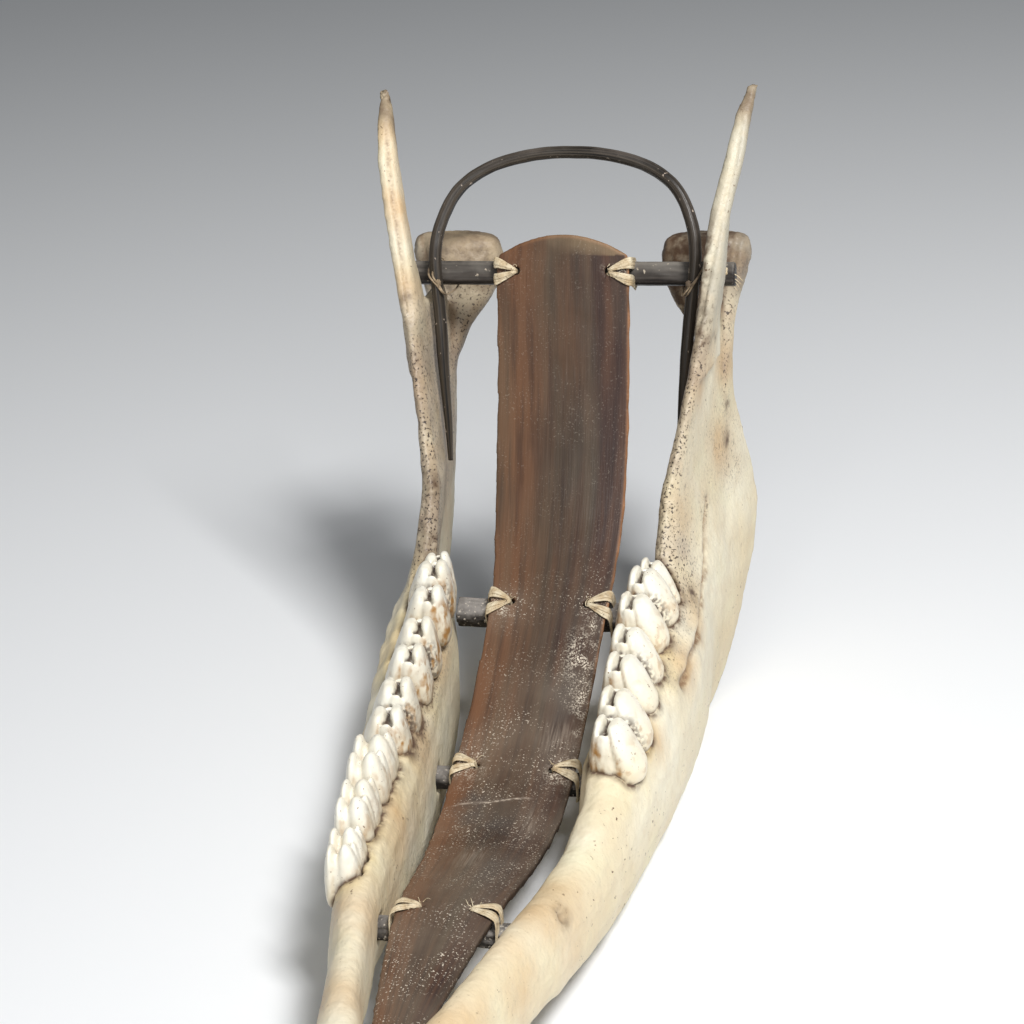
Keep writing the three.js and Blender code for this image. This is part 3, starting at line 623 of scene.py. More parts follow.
def plate(material):
    rows = len(PLATE_ROUTE) - 1
    bm = bmesh.new()
    bmesh.ops.create_grid(bm, x_segments=56, y_segments=320, size=1)
    holes = [(row, side) for row, _, _ in BARS.values() for side in (1, -1)]
    for vert in bm.verts:
        u, row = vert.co.x, (vert.co.y + 1) / 2 * rows
        middle, forward, normal, half = plate_frame(row)
        bulge = 1 - u * u
        wander = 0.25 * noise.fractal(Vector((u * 1.2, row * 1.6, 5)), 1.0, 2.0, 3)
        edge = 1 + 0.016 * noise.fractal(Vector((row * 3, math.copysign(3, u), 1)), 1.0, 2.0, 3)
        spot = middle + Vector((u * half * edge, 0, 0)) + normal * (bulge * PLATE_CROWN + wander * bulge)
        spot -= forward * bulge * PLATE_END_ARC * max(0, 1 - row / 0.8)
        vert.co = at_chin(spot) * MM
    for row, side in holes:
        middle, forward, normal, half = plate_frame(row)
        hole = at_chin(middle + Vector((side * (half - TIE_HOLE_INSET), 0, 0))) * MM
        inside = [f for f in bm.faces if (f.calc_center_median() - hole).length < TIE_HOLE_RADIUS * 1.15 * MM]
        bmesh.ops.delete(bm, geom=inside, context="FACES")
    bmesh.ops.recalc_face_normals(bm, faces=bm.faces)
    upper = sum((f.normal.z - f.normal.y for f in bm.faces), 0.0)
    if upper < 0:
        bmesh.ops.reverse_faces(bm, faces=bm.faces)
    for vert in bm.verts:
        vert.normal_update()
    shift = {v: v.normal * (PLATE_THICKNESS / 2 - 0.1) * MM for v in bm.verts}
    for vert, move in shift.items():
        vert.co += move
    bmesh.ops.solidify(bm, geom=bm.faces, thickness=(PLATE_THICKNESS - 0.2) * MM)
    bmesh.ops.recalc_face_normals(bm, faces=bm.faces)
    piece = object_from(bm, "dark_plate")
    mesh = remeshed(piece, PLATE_VOXEL)
    put_points(mesh, relaxed(points(mesh), pairs(mesh), 3))
    co = points(mesh) + np.array((0, CHIN, 0))
    samples = np.linspace(0, rows, 281)
    middles = np.array([along(PLATE_ROUTE, r)[:3] for r in samples])
    halves = np.array([along(PLATE_ROUTE, r)[3] for r in samples])
    nearest = np.argmin(((co[:, None, 1:] - middles[None, :, 1:]) ** 2).sum(2), 1)
    row = samples[nearest]
    gap = np.einsum("ij,ij->i", co[:, 1:] - middles[nearest][:, 1:], np.gradient(middles, axis=0)[nearest][:, 1:])
    step = (np.gradient(middles, axis=0)[nearest][:, 1:] ** 2).sum(1)
    beyond = np.where(nearest == 0, gap / np.sqrt(step), 0)
    lengths = np.append(0, np.cumsum(np.linalg.norm(np.diff(middles, axis=0), axis=1)))
    row = row + np.clip(gap / step, -1, 1) * samples[1]
    side = (co[:, 0] - middles[nearest][:, 0]) / halves[nearest]
    run = (np.interp(row, samples, lengths) + np.minimum(beyond, 0)) / 17
    paint_place(piece, "strip", np.stack((side, run, np.zeros(len(row))), 1))
    plate_marks(piece, side, row, np.where(nearest == 0, beyond + PLATE_END_ARC * (1 - side**2), 9))
    return finished(piece, material, "horn", "plate")


# Crossbars and hoop

def crossbar(name, materials):
    piece = copied(name, f"{name}_stick")
    mesh = remeshed(piece, BAR_VOXEL)
    co = relaxed(points(mesh), pairs(mesh), 8)
    put_points(mesh, co)
    smooth = name == "crossbar_1"
    fine = 0.3 if smooth else 1.0
    rough = 0.16 * clouds(co * (0.35, 1, 1), 2.2, 6) + 0.1 * clouds(co * (0.3, 1, 1), 0.8, 7, 3)
    split = 0.22 * ramp(clouds(co * (0.12, 1, 1), 1.6, 16, 2), 0.28, 0.5)
    co = co + normals(mesh) * (fine * (rough - split) - 0.1)[:, None]
    put_points(mesh, co)
    paint(piece, "hollow_shade", cavity(mesh, 6, 0.3))
    # top: how far each face looks upward, used for painted light on the bars' tops
    paint(piece, "top", normals(mesh)[:, 2])
    return finished(piece, materials["smooth" if smooth else "dust_and_top_light"], "dark_bar", name)


def hoop(material):
    right = [at_chin((x + HOOP_SHIFT, y, z)) for x, y, z in HOOP_HALF]
    left = [at_chin((HOOP_SHIFT - x, y, z)) for x, y, z in reversed(HOOP_HALF)]
    route = right + [at_chin((HOOP_CROWN[0] + HOOP_SHIFT, *HOOP_CROWN[1:]))] + left

    def size(share, turn):
        ends = min(1, HOOP_TAPER + (0.5 - abs(share - 0.5)) / 0.12 * (1 - HOOP_TAPER))
        groove = 0.13 * abs(math.sin(2.5 * turn + 0.4 + 1.2 * math.sin(share * 9))) ** 0.4
        wander = 0.05 * noise.noise(Vector((share * 60, math.cos(turn), math.sin(turn))))
        reach = HOOP_RADIUS * ends * (0.88 + groove + wander)
        return reach, reach

    piece = tube("hoop_rod", route, size, 30, 420)
    co = points(piece.data)
    middles = np.array([along(route, (len(route) - 1) * i / 500) for i in range(501)])
    nearest = np.argmin(((co[:, None] - middles[None]) ** 2).sum(2), 1)
    ahead = np.gradient(middles, axis=0)
    run = np.cumsum(np.linalg.norm(ahead, axis=1))[nearest]
    behind = np.array((0, 0.93, -0.37))
    offset = co - middles[nearest]
    outwards = np.cross(ahead[nearest] / np.linalg.norm(ahead[nearest], axis=1)[:, None], behind)
    around = np.arctan2((offset * outwards).sum(1), -(offset @ behind)) / math.pi
    paint_place(piece, "strip", np.stack((around, run / 17, np.zeros(len(run))), 1))
    # top: how far each face looks upward, used for painted light on the hoop's top
    paint(piece, "top", normals(piece.data)[:, 2])
    return finished(piece, material, "dark_bar", "hoop")


# Sinew lashings and ties

def ribbon(name, route, flat, widths, thickness, steps=46):
    """A flat strip of sinew. flat is the way its face looks at each point of the route."""
    last = len(route) - 1
    bm = bmesh.new()
    bmesh.ops.create_grid(bm, x_segments=12, y_segments=steps, size=1)
    rows = []
    for i in range(steps + 1):
        middle = Vector(along(route, last * i / steps))
        ahead = Vector(along(route, last * min(i + 1, steps) / steps))
        behind = Vector(along(route, last * max(i - 1, 0) / steps))
        tangent = (ahead - behind).normalized()
        face = Vector(along(flat, last * i / steps))
        face = (face - tangent * face.dot(tangent)).normalized()
        width = along([(w,) for w in widths], last * i / steps)[0]
        rows.append((middle, tangent.cross(face), face, width))
    for vert in bm.verts:
        turn = (vert.co.x + 1) * math.pi
        row = round((vert.co.y + 1) / 2 * steps)
        middle, side, face, width = rows[row]
        frayed = 1 + 0.14 * noise.noise(middle * 0.9 + Vector((math.cos(turn), math.sin(turn), 3)))
        reach = side * math.cos(turn) * width / 2 * frayed + face * math.sin(turn) * thickness / 2
        vert.co = (middle + reach) * MM
    bmesh.ops.remove_doubles(bm, verts=bm.verts, dist=0.0005 * MM)
    bmesh.ops.holes_fill(bm, edges=[e for e in bm.edges if e.is_boundary], sides=0)
    bmesh.ops.recalc_face_normals(bm, faces=bm.faces)
    return object_from(bm, name)


def fibre(name, start, end, sag, thickness=0.14, seed=0):
    """A loose hair of sinew that curls away from a lashing."""
    start, end = Vector(start), Vector(end)
    curl = noise.noise_vector(Vector((seed * 1.7, seed * 0.6, 4))) * sag
    route = [start, start.lerp(end, 0.35) + curl, start.lerp(end, 0.7) + curl * 0.6 + Vector((0, 0, sag * 0.4)), end]

    def size(share, turn):
        return thickness * (1 - 0.6 * share), thickness * (1 - 0.6 * share)

    return tube(name, route, size, 6, 18)


def knot(name, middle, size, seed):
    """A small tight lump of crossed strands."""
    bm = bmesh.new()
    made = bmesh.ops.create_icosphere(bm, subdivisions=4, radius=1)
    for vert in made["verts"]:
        direction = vert.co.copy()
        lump = 1 + 0.22 * noise.fractal(direction * 1.7 + Vector((seed, 2, 5)), 1.0, 2.0, 3)
        crossing = 0.1 * abs(math.sin(5 * direction.x + 3 * direction.z))
        vert.co = (Vector(middle) + Vector([d * s for d, s in zip(direction, size)]) * (lump - crossing)) * MM
    return object_from(bm, name)


def joined_pieces(name, parts):
    bm = bmesh.new()
    for part in parts:
        bm.from_mesh(part.data)
        bpy.data.objects.remove(part)
    return object_from(bm, name)


def bar_frame(name):
    row, tall, deep = BARS[name]
    middle, forward, normal, half = plate_frame(row)
    middle = middle - normal * (PLATE_THICKNESS / 2 + tall / 2 + SLACK)
    return middle, forward, normal, half, tall, deep, row


BAND_STRIPS = 4  # narrow strips of sinew lie side by side in a band


def lashing(bar, side, material):
    """Two flat bands fan out from a hole in the plate and pass over its edge and round under the bar."""
    middle, forward, normal, half, tall, deep, row = bar_frame(bar)
    sign = SIDES[side]
    over = tall / 2 + SLACK + PLATE_THICKNESS
    edge = half + along(PLATE_ROUTE, row)[0] * sign
    outwards = Vector((sign, 0, 0))

    def at(x, f, n):
        return at_chin(Vector((sign * x, middle.y, middle.z)) + forward * f + normal * n)

    strips = []
    reach = deep / 2
    for way in (1, -1):
        for i in range(BAND_STRIPS):
            place = i / (BAND_STRIPS - 1)
            spread = way * (0.36 + 0.6 * place) * reach
            rise = 0.25 * math.sin(3.1 * place + 0.6) + 0.08 * (i % 2)
            wobble = 0.25 * noise.noise(Vector((i * 2.3, way * 1.9, row)))
            route = [
                at(edge - TIE_HOLE_INSET + 0.1, way * 0.25 * place, over - 1.6),
                at(edge - TIE_HOLE_INSET + 0.5, way * (0.2 + 0.35 * place), over + 0.55 + rise * 0.5),
                at(edge - 2.4, spread * 0.62 + wobble, over + 0.75 + rise),
                at(edge - 0.2, spread + wobble, over + 0.45 + rise),
                at(edge + 0.75 + rise * 0.5, spread * 1.06, over - 0.9),
                at(edge + 0.7 + rise * 0.5, spread * 1.1 + way * 0.3, -tall / 5),
                at(edge + 0.4, spread * 0.9, -tall / 2 - 0.45 - rise),
                at(edge + 0.2, -way * 0.3, -tall / 2 - 0.75 - rise),
            ]
            flat = [outwards, normal, normal, normal + outwards * 0.5, outwards, outwards, -normal, -normal]
            widths = [0.4, 0.5, 0.75, 0.92, 0.92, 0.9, 0.8, 0.7]
            strips.append(ribbon(f"strip_{i}", route, flat, widths, 0.34))
    number = int(bar[-1])
    for i in range(5):
        seed = number * 10 + i + (5 if sign > 0 else 0)
        start = at(edge - TIE_HOLE_INSET + 0.6 * (i % 3), 0.5 * (i - 2), over + 0.8)
        way = noise.noise_vector(Vector((seed * 2.1, 1, seed)))
        end = start + Vector((way.x * 3.4, way.y * 3.2, 0)) + normal * (0.5 + abs(way.z))
        strips.append(fibre(f"hair_{i}", start, end, 0.8, 0.1, seed))
    piece = joined_pieces(f"{side}_lashing_{number}_strands", strips)
    return finished(piece, material, "sinew", f"{side}_lashing_{number}")


def hoop_tie(side, material):
    """Two thin strands cross a leg of the hoop and the first bar, with a small knot in front."""
    middle = bar_frame("crossbar_1")[0]
    sign = SIDES[side]
    x, y, _ = HOOP_HALF[4]
    parts = []
    for i, slant in enumerate((0.8, 0.62)):
        front = y - HOOP_RADIUS - 0.45
        back = middle.y + 3 + 0.5
        reach = 2.9 + 0.6

        def at(rise, depth):
            return at_chin((sign * (x - 0.45 + rise * slant) + HOOP_SHIFT + 0.5 * i, depth, middle.z + rise))

        route = [
            at(0, front - 0.2),
            at(reach * 0.7, front + 0.5),
            at(reach, middle.y - 1.6),
            at(reach * 0.86, back - 0.9),
            at(0, back),
            at(-reach * 0.86, back - 0.9),
            at(-reach, middle.y - 1.6),
            at(-reach * 0.7, front + 0.2),
        ]
        parts.append(tube(f"strand_{i}", route, lambda share, turn: (0.24, 0.18), 10, 90, True))
    knot_place = at_chin((sign * (x - 0.9) + HOOP_SHIFT, y - HOOP_RADIUS - 0.35, middle.z + 0.5))
    parts.append(knot("knot", knot_place, (0.7, 0.5, 1.0), 3 + sign))
    for i in range(2):
        end = knot_place + Vector((sign * (0.8 - i), -0.7, 0.9 - 1.8 * i))
        parts.append(fibre(f"end_{i}", knot_place, end, 0.6, 0.13, i + 20 + sign))
    piece = joined_pieces(f"{side}_hoop_tie_strands", parts)
    return finished(piece, material, "sinew", f"{side}_hoop_tie")


def neck_tie(material):
    """A knot and a few strands hold the first bar to the neck of the right joint."""
    middle, forward, normal, half, tall, deep, row = bar_frame("crossbar_1")
    top = at_chin((38.2, middle.y - 2.2, middle.z + 1.4))
    parts = [knot("knot", top, (1.15, 0.9, 1.4), 7)]
    for i in range(4):
        end = top + Vector((4.6 - 0.5 * i, 0.6 + 0.3 * i, -2.6 - 0.9 * i))
        parts.append(fibre(f"strand_{i}", top, end, 1.1, 0.22, i + 31))
    return finished(joined_pieces("right_neck_tie", parts), material, "sinew")


# Materials

def node(tree, kind, **settings):
    made = tree.nodes.new(kind)
    for key, value in settings.items():
        if hasattr(made, key):
            setattr(made, key, value)
        else:
            made.inputs[key.replace("_", " ")].default_value = value
    return made


def new_group(name, inputs, outputs):
    group = bpy.data.node_groups.new(name, "ShaderNodeTree")
    for socket, kind, value in inputs:
        made = group.interface.new_socket(name=socket, in_out="INPUT", socket_type=kind)
        made.default_value = value
    for socket, kind in outputs:
        group.interface.new_socket(name=socket, in_out="OUTPUT", socket_type=kind)
    return group, group.nodes.new("NodeGroupInput"), group.nodes.new("NodeGroupOutput")


def make_mottle():
    """Soft random patches over the surface, 0 to 1."""
    group, given, out = new_group("mottle", [
        ("Scale", "NodeSocketFloat", 50.0),
        ("Detail", "NodeSocketFloat", 4.0),
        ("From", "NodeSocketFloat", 0.4),
        ("To", "NodeSocketFloat", 0.6),
    ], [("Mask", "NodeSocketFloat")])
    place = group.nodes.new("ShaderNodeTexCoord")
    cloud = group.nodes.new("ShaderNodeTexNoise")
    span = group.nodes.new("ShaderNodeMapRange")
    link = group.links.new
    link(place.outputs["Object"], cloud.inputs["Vector"])
    link(given.outputs["Scale"], cloud.inputs["Scale"])
    link(given.outputs["Detail"], cloud.inputs["Detail"])
    link(cloud.outputs["Fac"], span.inputs["Value"])
    link(given.outputs["From"], span.inputs["From Min"])
    link(given.outputs["To"], span.inputs["From Max"])
    link(span.outputs["Result"], out.inputs["Mask"])
    return group


MOTTLE = make_mottle()


def mottle(tree, scale, low, high, detail=4.0):
    made = tree.nodes.new("ShaderNodeGroup")
    made.node_tree = MOTTLE
    for key, value in (("Scale", scale), ("Detail", detail), ("From", low), ("To", high)):
        made.inputs[key].default_value = value
    return made.outputs["Mask"]


def painted(tree, name):
    return node(tree, "ShaderNodeAttribute", attribute_name=name).outputs["Fac"]


def times(tree, a, b):
    made = node(tree, "ShaderNodeMath", operation="MULTIPLY", use_clamp=True)
    for socket, value in zip(made.inputs, (a, b)):
        if isinstance(value, (int, float)):
            socket.default_value = value
        else:
            tree.links.new(value, socket)
    return made.outputs[0]


def spread(tree, value, low, high):
    made = node(tree, "ShaderNodeMapRange")
    tree.links.new(value, made.inputs["Value"])
    made.inputs["From Min"].default_value = low
    made.inputs["From Max"].default_value = high
    return made.outputs["Result"]


def blend_colour(tree, mask, under, over):
    made = node(tree, "ShaderNodeMix", data_type="RGBA")
    factor, a, b = made.inputs["Factor"], made.inputs[6], made.inputs[7]
    tree.links.new(mask, factor)
    for socket, value in ((a, under), (b, over)):
        if isinstance(value, tuple):
            socket.default_value = (*value, 1)
        else:
            tree.links.new(value, socket)
    return made.outputs[2]


def surface(name, roughness, specular=0.5):
    material = bpy.data.materials.new(name)
    material.use_nodes = True
    shader = material.node_tree.nodes["Principled BSDF"]
    shader.inputs["Roughness"].default_value = roughness
    shader.inputs["Specular IOR Level"].default_value = specular
    return material, material.node_tree, shader


def bumped(tree, shader, height, distance, strength=1.0):
    bump = node(tree, "ShaderNodeBump", Strength=strength, Distance=distance * MM)
    tree.links.new(height, bump.inputs["Height"])
    tree.links.new(bump.outputs["Normal"], shader.inputs["Normal"])


def bone_material():
    material, tree, shader = surface("old_bone", 0.46, 0.4)
    ivory = blend_colour(tree, mottle(tree, 34, 0.35, 0.68), (0.82, 0.77, 0.61), (0.70, 0.59, 0.40))
    ivory = blend_colour(tree, times(tree, mottle(tree, 75, 0.5, 0.68, 6), 0.6), ivory, (0.80, 0.76, 0.54))
    # Grey of the thin blade, with painted shade on the right coronoid
    thin_and_shade = times(tree, painted(tree, "thin_and_shade"), mottle(tree, 45, 0.1, 0.45))
    colour = blend_colour(tree, times(tree, thin_and_shade, 0.85), ivory, (0.42, 0.40, 0.34))
    greasy = times(tree, painted(tree, "greasy"), mottle(tree, 60, 0.35, 0.6))
    colour = blend_colour(tree, greasy, colour, (0.70, 0.55, 0.27))
    tan = times(tree, painted(tree, "tan"), mottle(tree, 55, 0.25, 0.62, 5))
    colour = blend_colour(tree, times(tree, tan, 0.8), colour, (0.58, 0.36, 0.16))
    grey = times(tree, painted(tree, "grey"), mottle(tree, 120, 0.15, 0.6, 5))
    colour = blend_colour(tree, grey, colour, (0.22, 0.16, 0.105))
    smudge = times(tree, painted(tree, "grey"), mottle(tree, 260, 0.58, 0.8, 5))
    colour = blend_colour(tree, times(tree, smudge, 0.8), colour, (0.07, 0.05, 0.035))
    grain = times(tree, mottle(tree, 300, 0.5, 0.75, 8), 0.35)
    colour = blend_colour(tree, grain, colour, (0.60, 0.47, 0.31))
    face = times(tree, painted(tree, "pores"), mottle(tree, 130, 0.3, 0.65, 6))
    colour = blend_colour(tree, times(tree, face, 0.7), colour, (0.40, 0.31, 0.23))
    specks = times(tree, painted(tree, "pores"), mottle(tree, 1500, 0.55, 0.64, 5))
    colour = blend_colour(tree, specks, colour, (0.05, 0.035, 0.028))
    stray = times(tree, mottle(tree, 950, 0.685, 0.72, 2), mottle(tree, 60, 0.4, 0.6))
    colour = blend_colour(tree, stray, colour, (0.16, 0.10, 0.06))
    line = times(tree, painted(tree, "line"), mottle(tree, 620, 0.28, 0.5, 5))
    colour = blend_colour(tree, line, colour, (0.20, 0.105, 0.05))
    brown = times(tree, painted(tree, "brown"), mottle(tree, 420, 0.3, 0.56, 7))
    colour = blend_colour(tree, brown, colour, (0.085, 0.045, 0.025))
    # Painted shade: brown darkening in the bone's pits and grooves
    painted_hollow_shade = spread(tree, painted(tree, "hollow_shade"), 0.2, 0.95)
    colour = blend_colour(tree, times(tree, painted_hollow_shade, 0.8), colour, (0.26, 0.17, 0.10))
    # Painted shade along the bone where it meets the teeth
    gum_shade = times(tree, spread(tree, painted(tree, "gum"), 0.25, 0.8), mottle(tree, 420, 0.3, 0.54, 6))
    colour = blend_colour(tree, gum_shade, colour, (0.12, 0.075, 0.05))
    tree.links.new(colour, shader.inputs["Base Color"])
    gloss = spread(tree, mottle(tree, 40, 0.2, 0.8), -0.4, 1.4)
    rough = node(tree, "ShaderNodeMapRange")
    tree.links.new(gloss, rough.inputs["Value"])
    rough.inputs["To Min"].default_value = 0.34
    rough.inputs["To Max"].default_value = 0.62
    tree.links.new(rough.outputs["Result"], shader.inputs["Roughness"])
    bumped(tree, shader, mottle(tree, 700, 0.2, 0.8, 8), 0.16)
    return material


def enamel_material():
    material, tree, shader = surface("old_enamel", 0.28, 0.5)
    white = blend_colour(tree, mottle(tree, 190, 0.35, 0.65), (0.90, 0.87, 0.76), (0.82, 0.76, 0.62))
    deep = spread(tree, painted(tree, "depth"), 0.3, 1.1)
    colour = blend_colour(tree, times(tree, deep, 0.55), white, (0.74, 0.61, 0.38))
    stain = times(tree, painted(tree, "stain"), mottle(tree, 380, 0.25, 0.6, 5))
    colour = blend_colour(tree, stain, colour, (0.42, 0.22, 0.07))
    speck = times(tree, mottle(tree, 1300, 0.67, 0.71, 3), mottle(tree, 150, 0.42, 0.6))
    colour = blend_colour(tree, speck, colour, (0.22, 0.14, 0.08))
    # Painted shade with dirt: near black in the slits, hollows and gaps between the lobes
    dirt_and_shade = times(tree, painted(tree, "dirt_and_shade"), mottle(tree, 900, 0.12, 0.42, 6))
    colour = blend_colour(tree, dirt_and_shade, colour, (0.075, 0.05, 0.038))
    # Painted shade at the foot of each crown, where it meets the bone
    gum = times(tree, spread(tree, painted(tree, "gum"), 0.2, 0.8), mottle(tree, 500, 0.3, 0.55))
    colour = blend_colour(tree, gum, colour, (0.17, 0.11, 0.07))
    tree.links.new(colour, shader.inputs["Base Color"])
    bumped(tree, shader, mottle(tree, 900, 0.2, 0.8, 4), 0.05)
    return material


def strip_noise(tree, across, lengthwise, detail=5.0, seed=0.0):
    """Noise drawn out along the plate."""
    place = node(tree, "ShaderNodeAttribute", attribute_name="strip")
    mapping = node(tree, "ShaderNodeMapping")
    mapping.inputs["Scale"].default_value = (across, lengthwise, 1)
    mapping.inputs["Location"].default_value = (seed, seed * 2, seed * 3)
    cloud = node(tree, "ShaderNodeTexNoise", Scale=1.0, Detail=detail)
    tree.links.new(place.outputs["Vector"], mapping.inputs["Vector"])
    tree.links.new(mapping.outputs["Vector"], cloud.inputs["Vector"])
    return cloud.outputs["Fac"]


def strip_zone(tree, low, high):
    """A mask over the plate's width, from -1 at its left edge to 1 at its right one."""
    place = node(tree, "ShaderNodeAttribute", attribute_name="strip")
    parts = node(tree, "ShaderNodeSeparateXYZ")
    tree.links.new(place.outputs["Vector"], parts.inputs["Vector"])
    wander = node(tree, "ShaderNodeMath", operation="MULTIPLY_ADD")
    tree.links.new(strip_noise(tree, 2.0, 0.5, 3, 9), wander.inputs[0])
    wander.inputs[1].default_value = 0.7
    tree.links.new(parts.outputs["X"], wander.inputs[2])
    return spread(tree, wander.outputs[0], low + 0.35, high + 0.35)


def horn_material():
    material, tree, shader = surface("dark_horn", 0.46, 0.14)
    colour = blend_colour(tree, strip_zone(tree, -0.75, -0.1), (0.15, 0.07, 0.036), (0.056, 0.038, 0.027))
    colour = blend_colour(tree, strip_zone(tree, 0.1, 0.6), colour, (0.034, 0.019, 0.017))
    streak = spread(tree, strip_noise(tree, 6.5, 0.5, 3, 1), 0.35, 0.7)
    colour = blend_colour(tree, times(tree, streak, 0.4), colour, (0.15, 0.07, 0.036))
    dark = spread(tree, strip_noise(tree, 8, 0.5, 3, 3), 0.46, 0.72)
    colour = blend_colour(tree, times(tree, dark, 0.7), colour, (0.024, 0.014, 0.013))
    broad = spread(tree, strip_noise(tree, 2.2, 0.18, 3, 4), 0.45, 0.65)
    colour = blend_colour(tree, times(tree, broad, 0.4), colour, (0.10, 0.084, 0.058))
    fine = spread(tree, strip_noise(tree, 34, 1.6, 3, 7), 0.6, 0.85)
    colour = blend_colour(tree, times(tree, fine, 0.2), colour, (0.25, 0.19, 0.15))
    colour = blend_colour(tree, times(tree, painted(tree, "pale_end"), 0.7), colour, (0.22, 0.155, 0.09))
    rim = times(tree, painted(tree, "rim"), mottle(tree, 90, 0.25, 0.5))
    colour = blend_colour(tree, rim, colour, (0.50, 0.24, 0.11))
    scraped = times(tree, painted(tree, "scraped"), spread(tree, strip_noise(tree, 30, 2.5, 5, 8), 0.4, 0.6))
    colour = blend_colour(tree, times(tree, scraped, 0.4), colour, (0.42, 0.35, 0.28))
    dark_patch = times(tree, painted(tree, "wear_and_top_light"), mottle(tree, 120, 0.3, 0.55, 5))
    colour = blend_colour(tree, times(tree, dark_patch, 0.85), colour, (0.03, 0.026, 0.028))
    film = times(tree, painted(tree, "dust"), mottle(tree, 60, 0.3, 0.65, 6))
    colour = blend_colour(tree, times(tree, film, 0.32), colour, (0.28, 0.225, 0.17))
    crumb = times(tree, mottle(tree, 2300, 0.61, 0.66, 4), mottle(tree, 110, 0.4, 0.6, 5))
    colour = blend_colour(tree, times(tree, crumb, painted(tree, "dust")), colour, (0.66, 0.58, 0.47))
    grit = times(tree, mottle(tree, 2600, 0.48, 0.6, 4), times(tree, painted(tree, "grit"), mottle(tree, 330, 0.4, 0.58, 4)))
    colour = blend_colour(tree, grit, colour, (0.70, 0.62, 0.50))
    crack = times(tree, painted(tree, "crack"), mottle(tree, 300, 0.2, 0.5))
    colour = blend_colour(tree, crack, colour, (0.50, 0.42, 0.34))
    tree.links.new(colour, shader.inputs["Base Color"])
    bumped(tree, shader, strip_noise(tree, 40, 1.6, 4, 2), 0.07)
    return material


def smooth_bar_material():
    material, tree, shader = surface("smooth_bar", 0.4, 0.22)
    streak = node(tree, "ShaderNodeTexNoise", Scale=1.0, Detail=5.0)
    place = tree.nodes.new("ShaderNodeTexCoord")
    mapping = node(tree, "ShaderNodeMapping")
    mapping.inputs["Scale"].default_value = (60, 1500, 1500)
    tree.links.new(place.outputs["Object"], mapping.inputs["Vector"])
    tree.links.new(mapping.outputs["Vector"], streak.inputs["Vector"])
    lines = spread(tree, streak.outputs["Fac"], 0.35, 0.7)
    colour = blend_colour(tree, lines, (0.014, 0.011, 0.010), (0.055, 0.045, 0.038))
    # Painted light: a lighter colour on the bar's upward faces
    wear_and_top_light = times(tree, spread(tree, painted(tree, "top"), 0.1, 0.95), mottle(tree, 140, 0.25, 0.6, 5))
    colour = blend_colour(tree, wear_and_top_light, colour, (0.20, 0.18, 0.155))
    colour = blend_colour(tree, mottle(tree, 800, 0.66, 0.71, 5), colour, (0.42, 0.36, 0.28))
    tree.links.new(colour, shader.inputs["Base Color"])
    bumped(tree, shader, streak.outputs["Fac"], 0.14)
    return material


def dusty_bar_material():
    material, tree, shader = surface("dusty_bar", 0.75, 0.15)
    colour = blend_colour(tree, mottle(tree, 300, 0.35, 0.65), (0.022, 0.019, 0.017), (0.075, 0.066, 0.058))
    # Dust with painted light: a lighter colour on the upward faces
    dust_and_top_light = times(tree, spread(tree, painted(tree, "top"), 0.0, 0.8), mottle(tree, 220, 0.25, 0.55, 6))
    colour = blend_colour(tree, dust_and_top_light, colour, (0.25, 0.23, 0.21))
    colour = blend_colour(tree, mottle(tree, 1200, 0.6, 0.67, 6), colour, (0.50, 0.45, 0.38))
    tree.links.new(colour, shader.inputs["Base Color"])
    bumped(tree, shader, mottle(tree, 900, 0.2, 0.8, 6), 0.25)
    return material


def hoop_material():
    material, tree, shader = surface("dark_hoop", 0.36, 0.3)
    grain = strip_noise(tree, 7, 0.35, 5, 2)
    colour = blend_colour(tree, spread(tree, grain, 0.38, 0.66), (0.007, 0.006, 0.005), (0.075, 0.06, 0.045))
    # Painted light: a lighter colour on the hoop's upward faces
    wear_and_top_light = times(tree, spread(tree, painted(tree, "top"), 0.2, 1.0), mottle(tree, 90, 0.35, 0.6, 4))
    colour = blend_colour(tree, times(tree, wear_and_top_light, 0.7), colour, (0.12, 0.10, 0.085))
    colour = blend_colour(tree, mottle(tree, 700, 0.68, 0.72, 4), colour, (0.42, 0.34, 0.27))
    tree.links.new(colour, shader.inputs["Base Color"])
    bumped(tree, shader, grain, 0.25)
    return material


def sinew_material(name, pale, dark):
    material, tree, shader = surface(name, 0.55, 0.4)
    colour = blend_colour(tree, mottle(tree, 420, 0.35, 0.65), pale, dark)
    dirty = mottle(tree, 900, 0.56, 0.68, 5)
    colour = blend_colour(tree, times(tree, dirty, 0.6), colour, (0.24, 0.17, 0.10))
    tree.links.new(colour, shader.inputs["Base Color"])
    bumped(tree, shader, mottle(tree, 1500, 0.2, 0.8, 5), 0.14)
    return material


# The whole sled

bone, enamel = bone_material(), enamel_material()
horn = horn_material()
sinew = sinew_material("dry_sinew", (0.70, 0.61, 0.44), (0.48, 0.36, 0.21))
stained_sinew = sinew_material("stained_sinew", (0.36, 0.27, 0.17), (0.10, 0.07, 0.045))
bars = {"smooth": smooth_bar_material(), "dust_and_top_light": dusty_bar_material()}

for side in SIDES:
    body = jaw_bone(side)
    body_tree = tree_of(body)
    crowns = []
    for name in JAW_TEETH[side]:
        crown = tooth(side, name, enamel)
        tooth_marks(side, crown, name, body_tree)
        crowns.append(crown)
        finished(crown, enamel, "enamel", f"{side}_{name}")
    bone_marks(side, body, crowns)
    finished(body, bone, "bone", f"{side}_jaw")
    front_teeth(side, enamel)

plate(horn)
hoop(hoop_material())
for name in BARS:
    crossbar(name, bars)
    for side in SIDES:
        lashing(name, side, sinew)
for side in SIDES:
    hoop_tie(side, stained_sinew)
neck_tie(sinew)


# Floor, light and camera

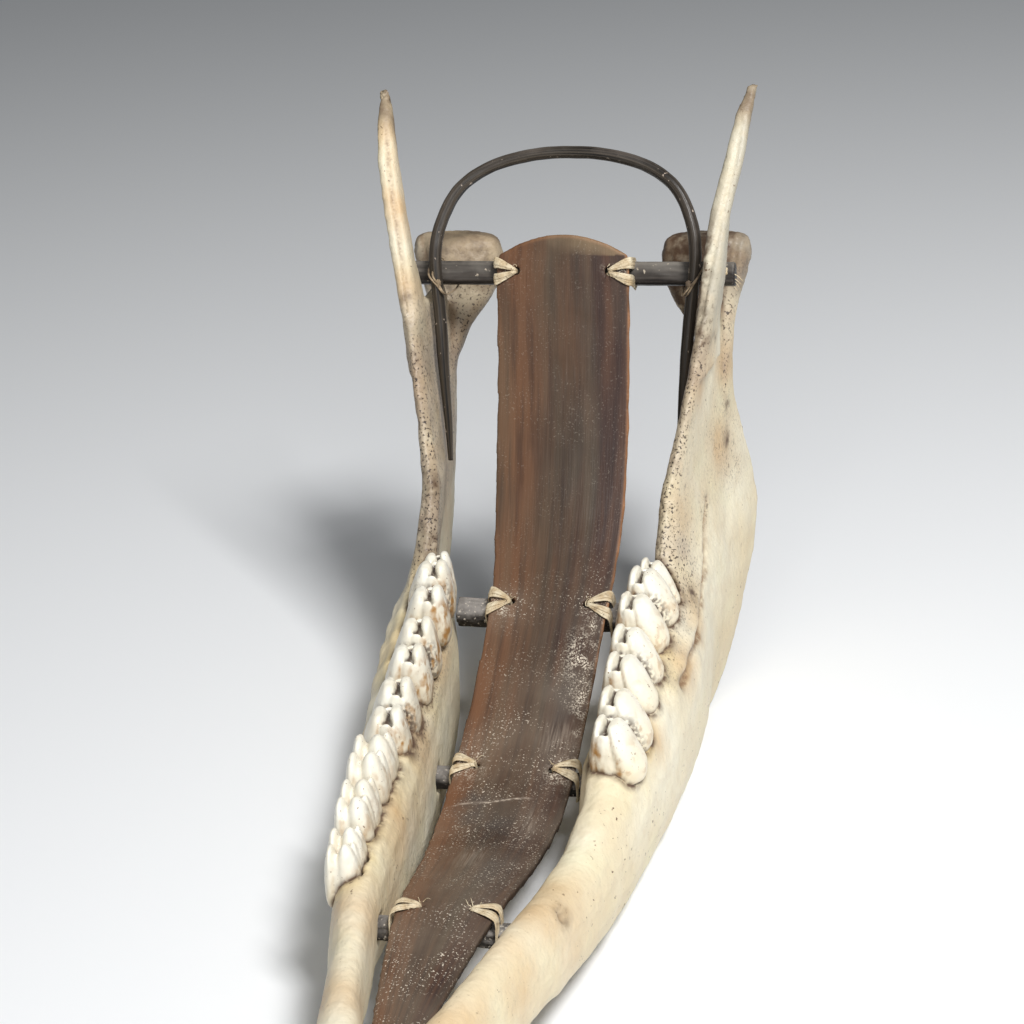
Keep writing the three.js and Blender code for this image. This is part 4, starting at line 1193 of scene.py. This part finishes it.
def floor():
    bm = bmesh.new()
    bmesh.ops.create_grid(bm, x_segments=2, y_segments=2, size=6)
    piece = object_from(bm, "floor")
    material, tree, shader = surface("pale_floor", 0.9, 0.1)
    shader.inputs["Base Color"].default_value = (0.86, 0.87, 0.88, 1)
    piece.data.materials.append(material)


def lamp(name, place, target, size, power):
    light = bpy.data.lights.new(name, "AREA")
    light.size = size
    light.energy = power
    held = bpy.data.objects.new(name, light)
    held.location = place
    held.rotation_euler = (Vector(target) - Vector(place)).to_track_quat("-Z", "Y").to_euler()
    bpy.context.scene.collection.objects.link(held)


CAMERA_PLACE = Vector((0.0960, -0.37205, 0.2674))
CAMERA_AZIMUTH = math.radians(13.3)
CAMERA_ELEVATION = math.radians(24.7)
CAMERA_ROLL = math.radians(-4.0)
CAMERA_LENS = 74.45


def camera():
    lens = bpy.data.cameras.new("camera")
    lens.lens = CAMERA_LENS
    lens.sensor_width = 36
    lens.clip_start = 0.01
    held = bpy.data.objects.new("camera", lens)
    a, e, r = CAMERA_AZIMUTH, CAMERA_ELEVATION, CAMERA_ROLL
    back = Vector((math.sin(a) * math.cos(e), -math.cos(a) * math.cos(e), math.sin(e)))
    right = Vector((math.cos(a), math.sin(a), 0))
    up = right.cross(-back)
    x = right * math.cos(r) + up * math.sin(r)
    y = up * math.cos(r) - right * math.sin(r)
    held.matrix_world = Matrix((
        (x.x, y.x, back.x, CAMERA_PLACE.x),
        (x.y, y.y, back.y, CAMERA_PLACE.y),
        (x.z, y.z, back.z, CAMERA_PLACE.z),
        (0, 0, 0, 1),
    ))
    bpy.context.scene.collection.objects.link(held)
    bpy.context.scene.camera = held


floor()
lamp("key", (0.33, -0.31, 0.76), (0, 0.02, 0.03), 0.2, 7.9)
lamp("fill", (0.25, -1.4, 0.95), (0, 0, 0.05), 1.1, 9)
world = bpy.data.worlds.new("studio")
world.use_nodes = True
world.node_tree.nodes["Background"].inputs["Color"].default_value = (0.80, 0.84, 0.88, 1)
world.node_tree.nodes["Background"].inputs["Strength"].default_value = 0.14
bpy.context.scene.world = world
bpy.context.scene.view_settings.view_transform = "Standard"
camera()
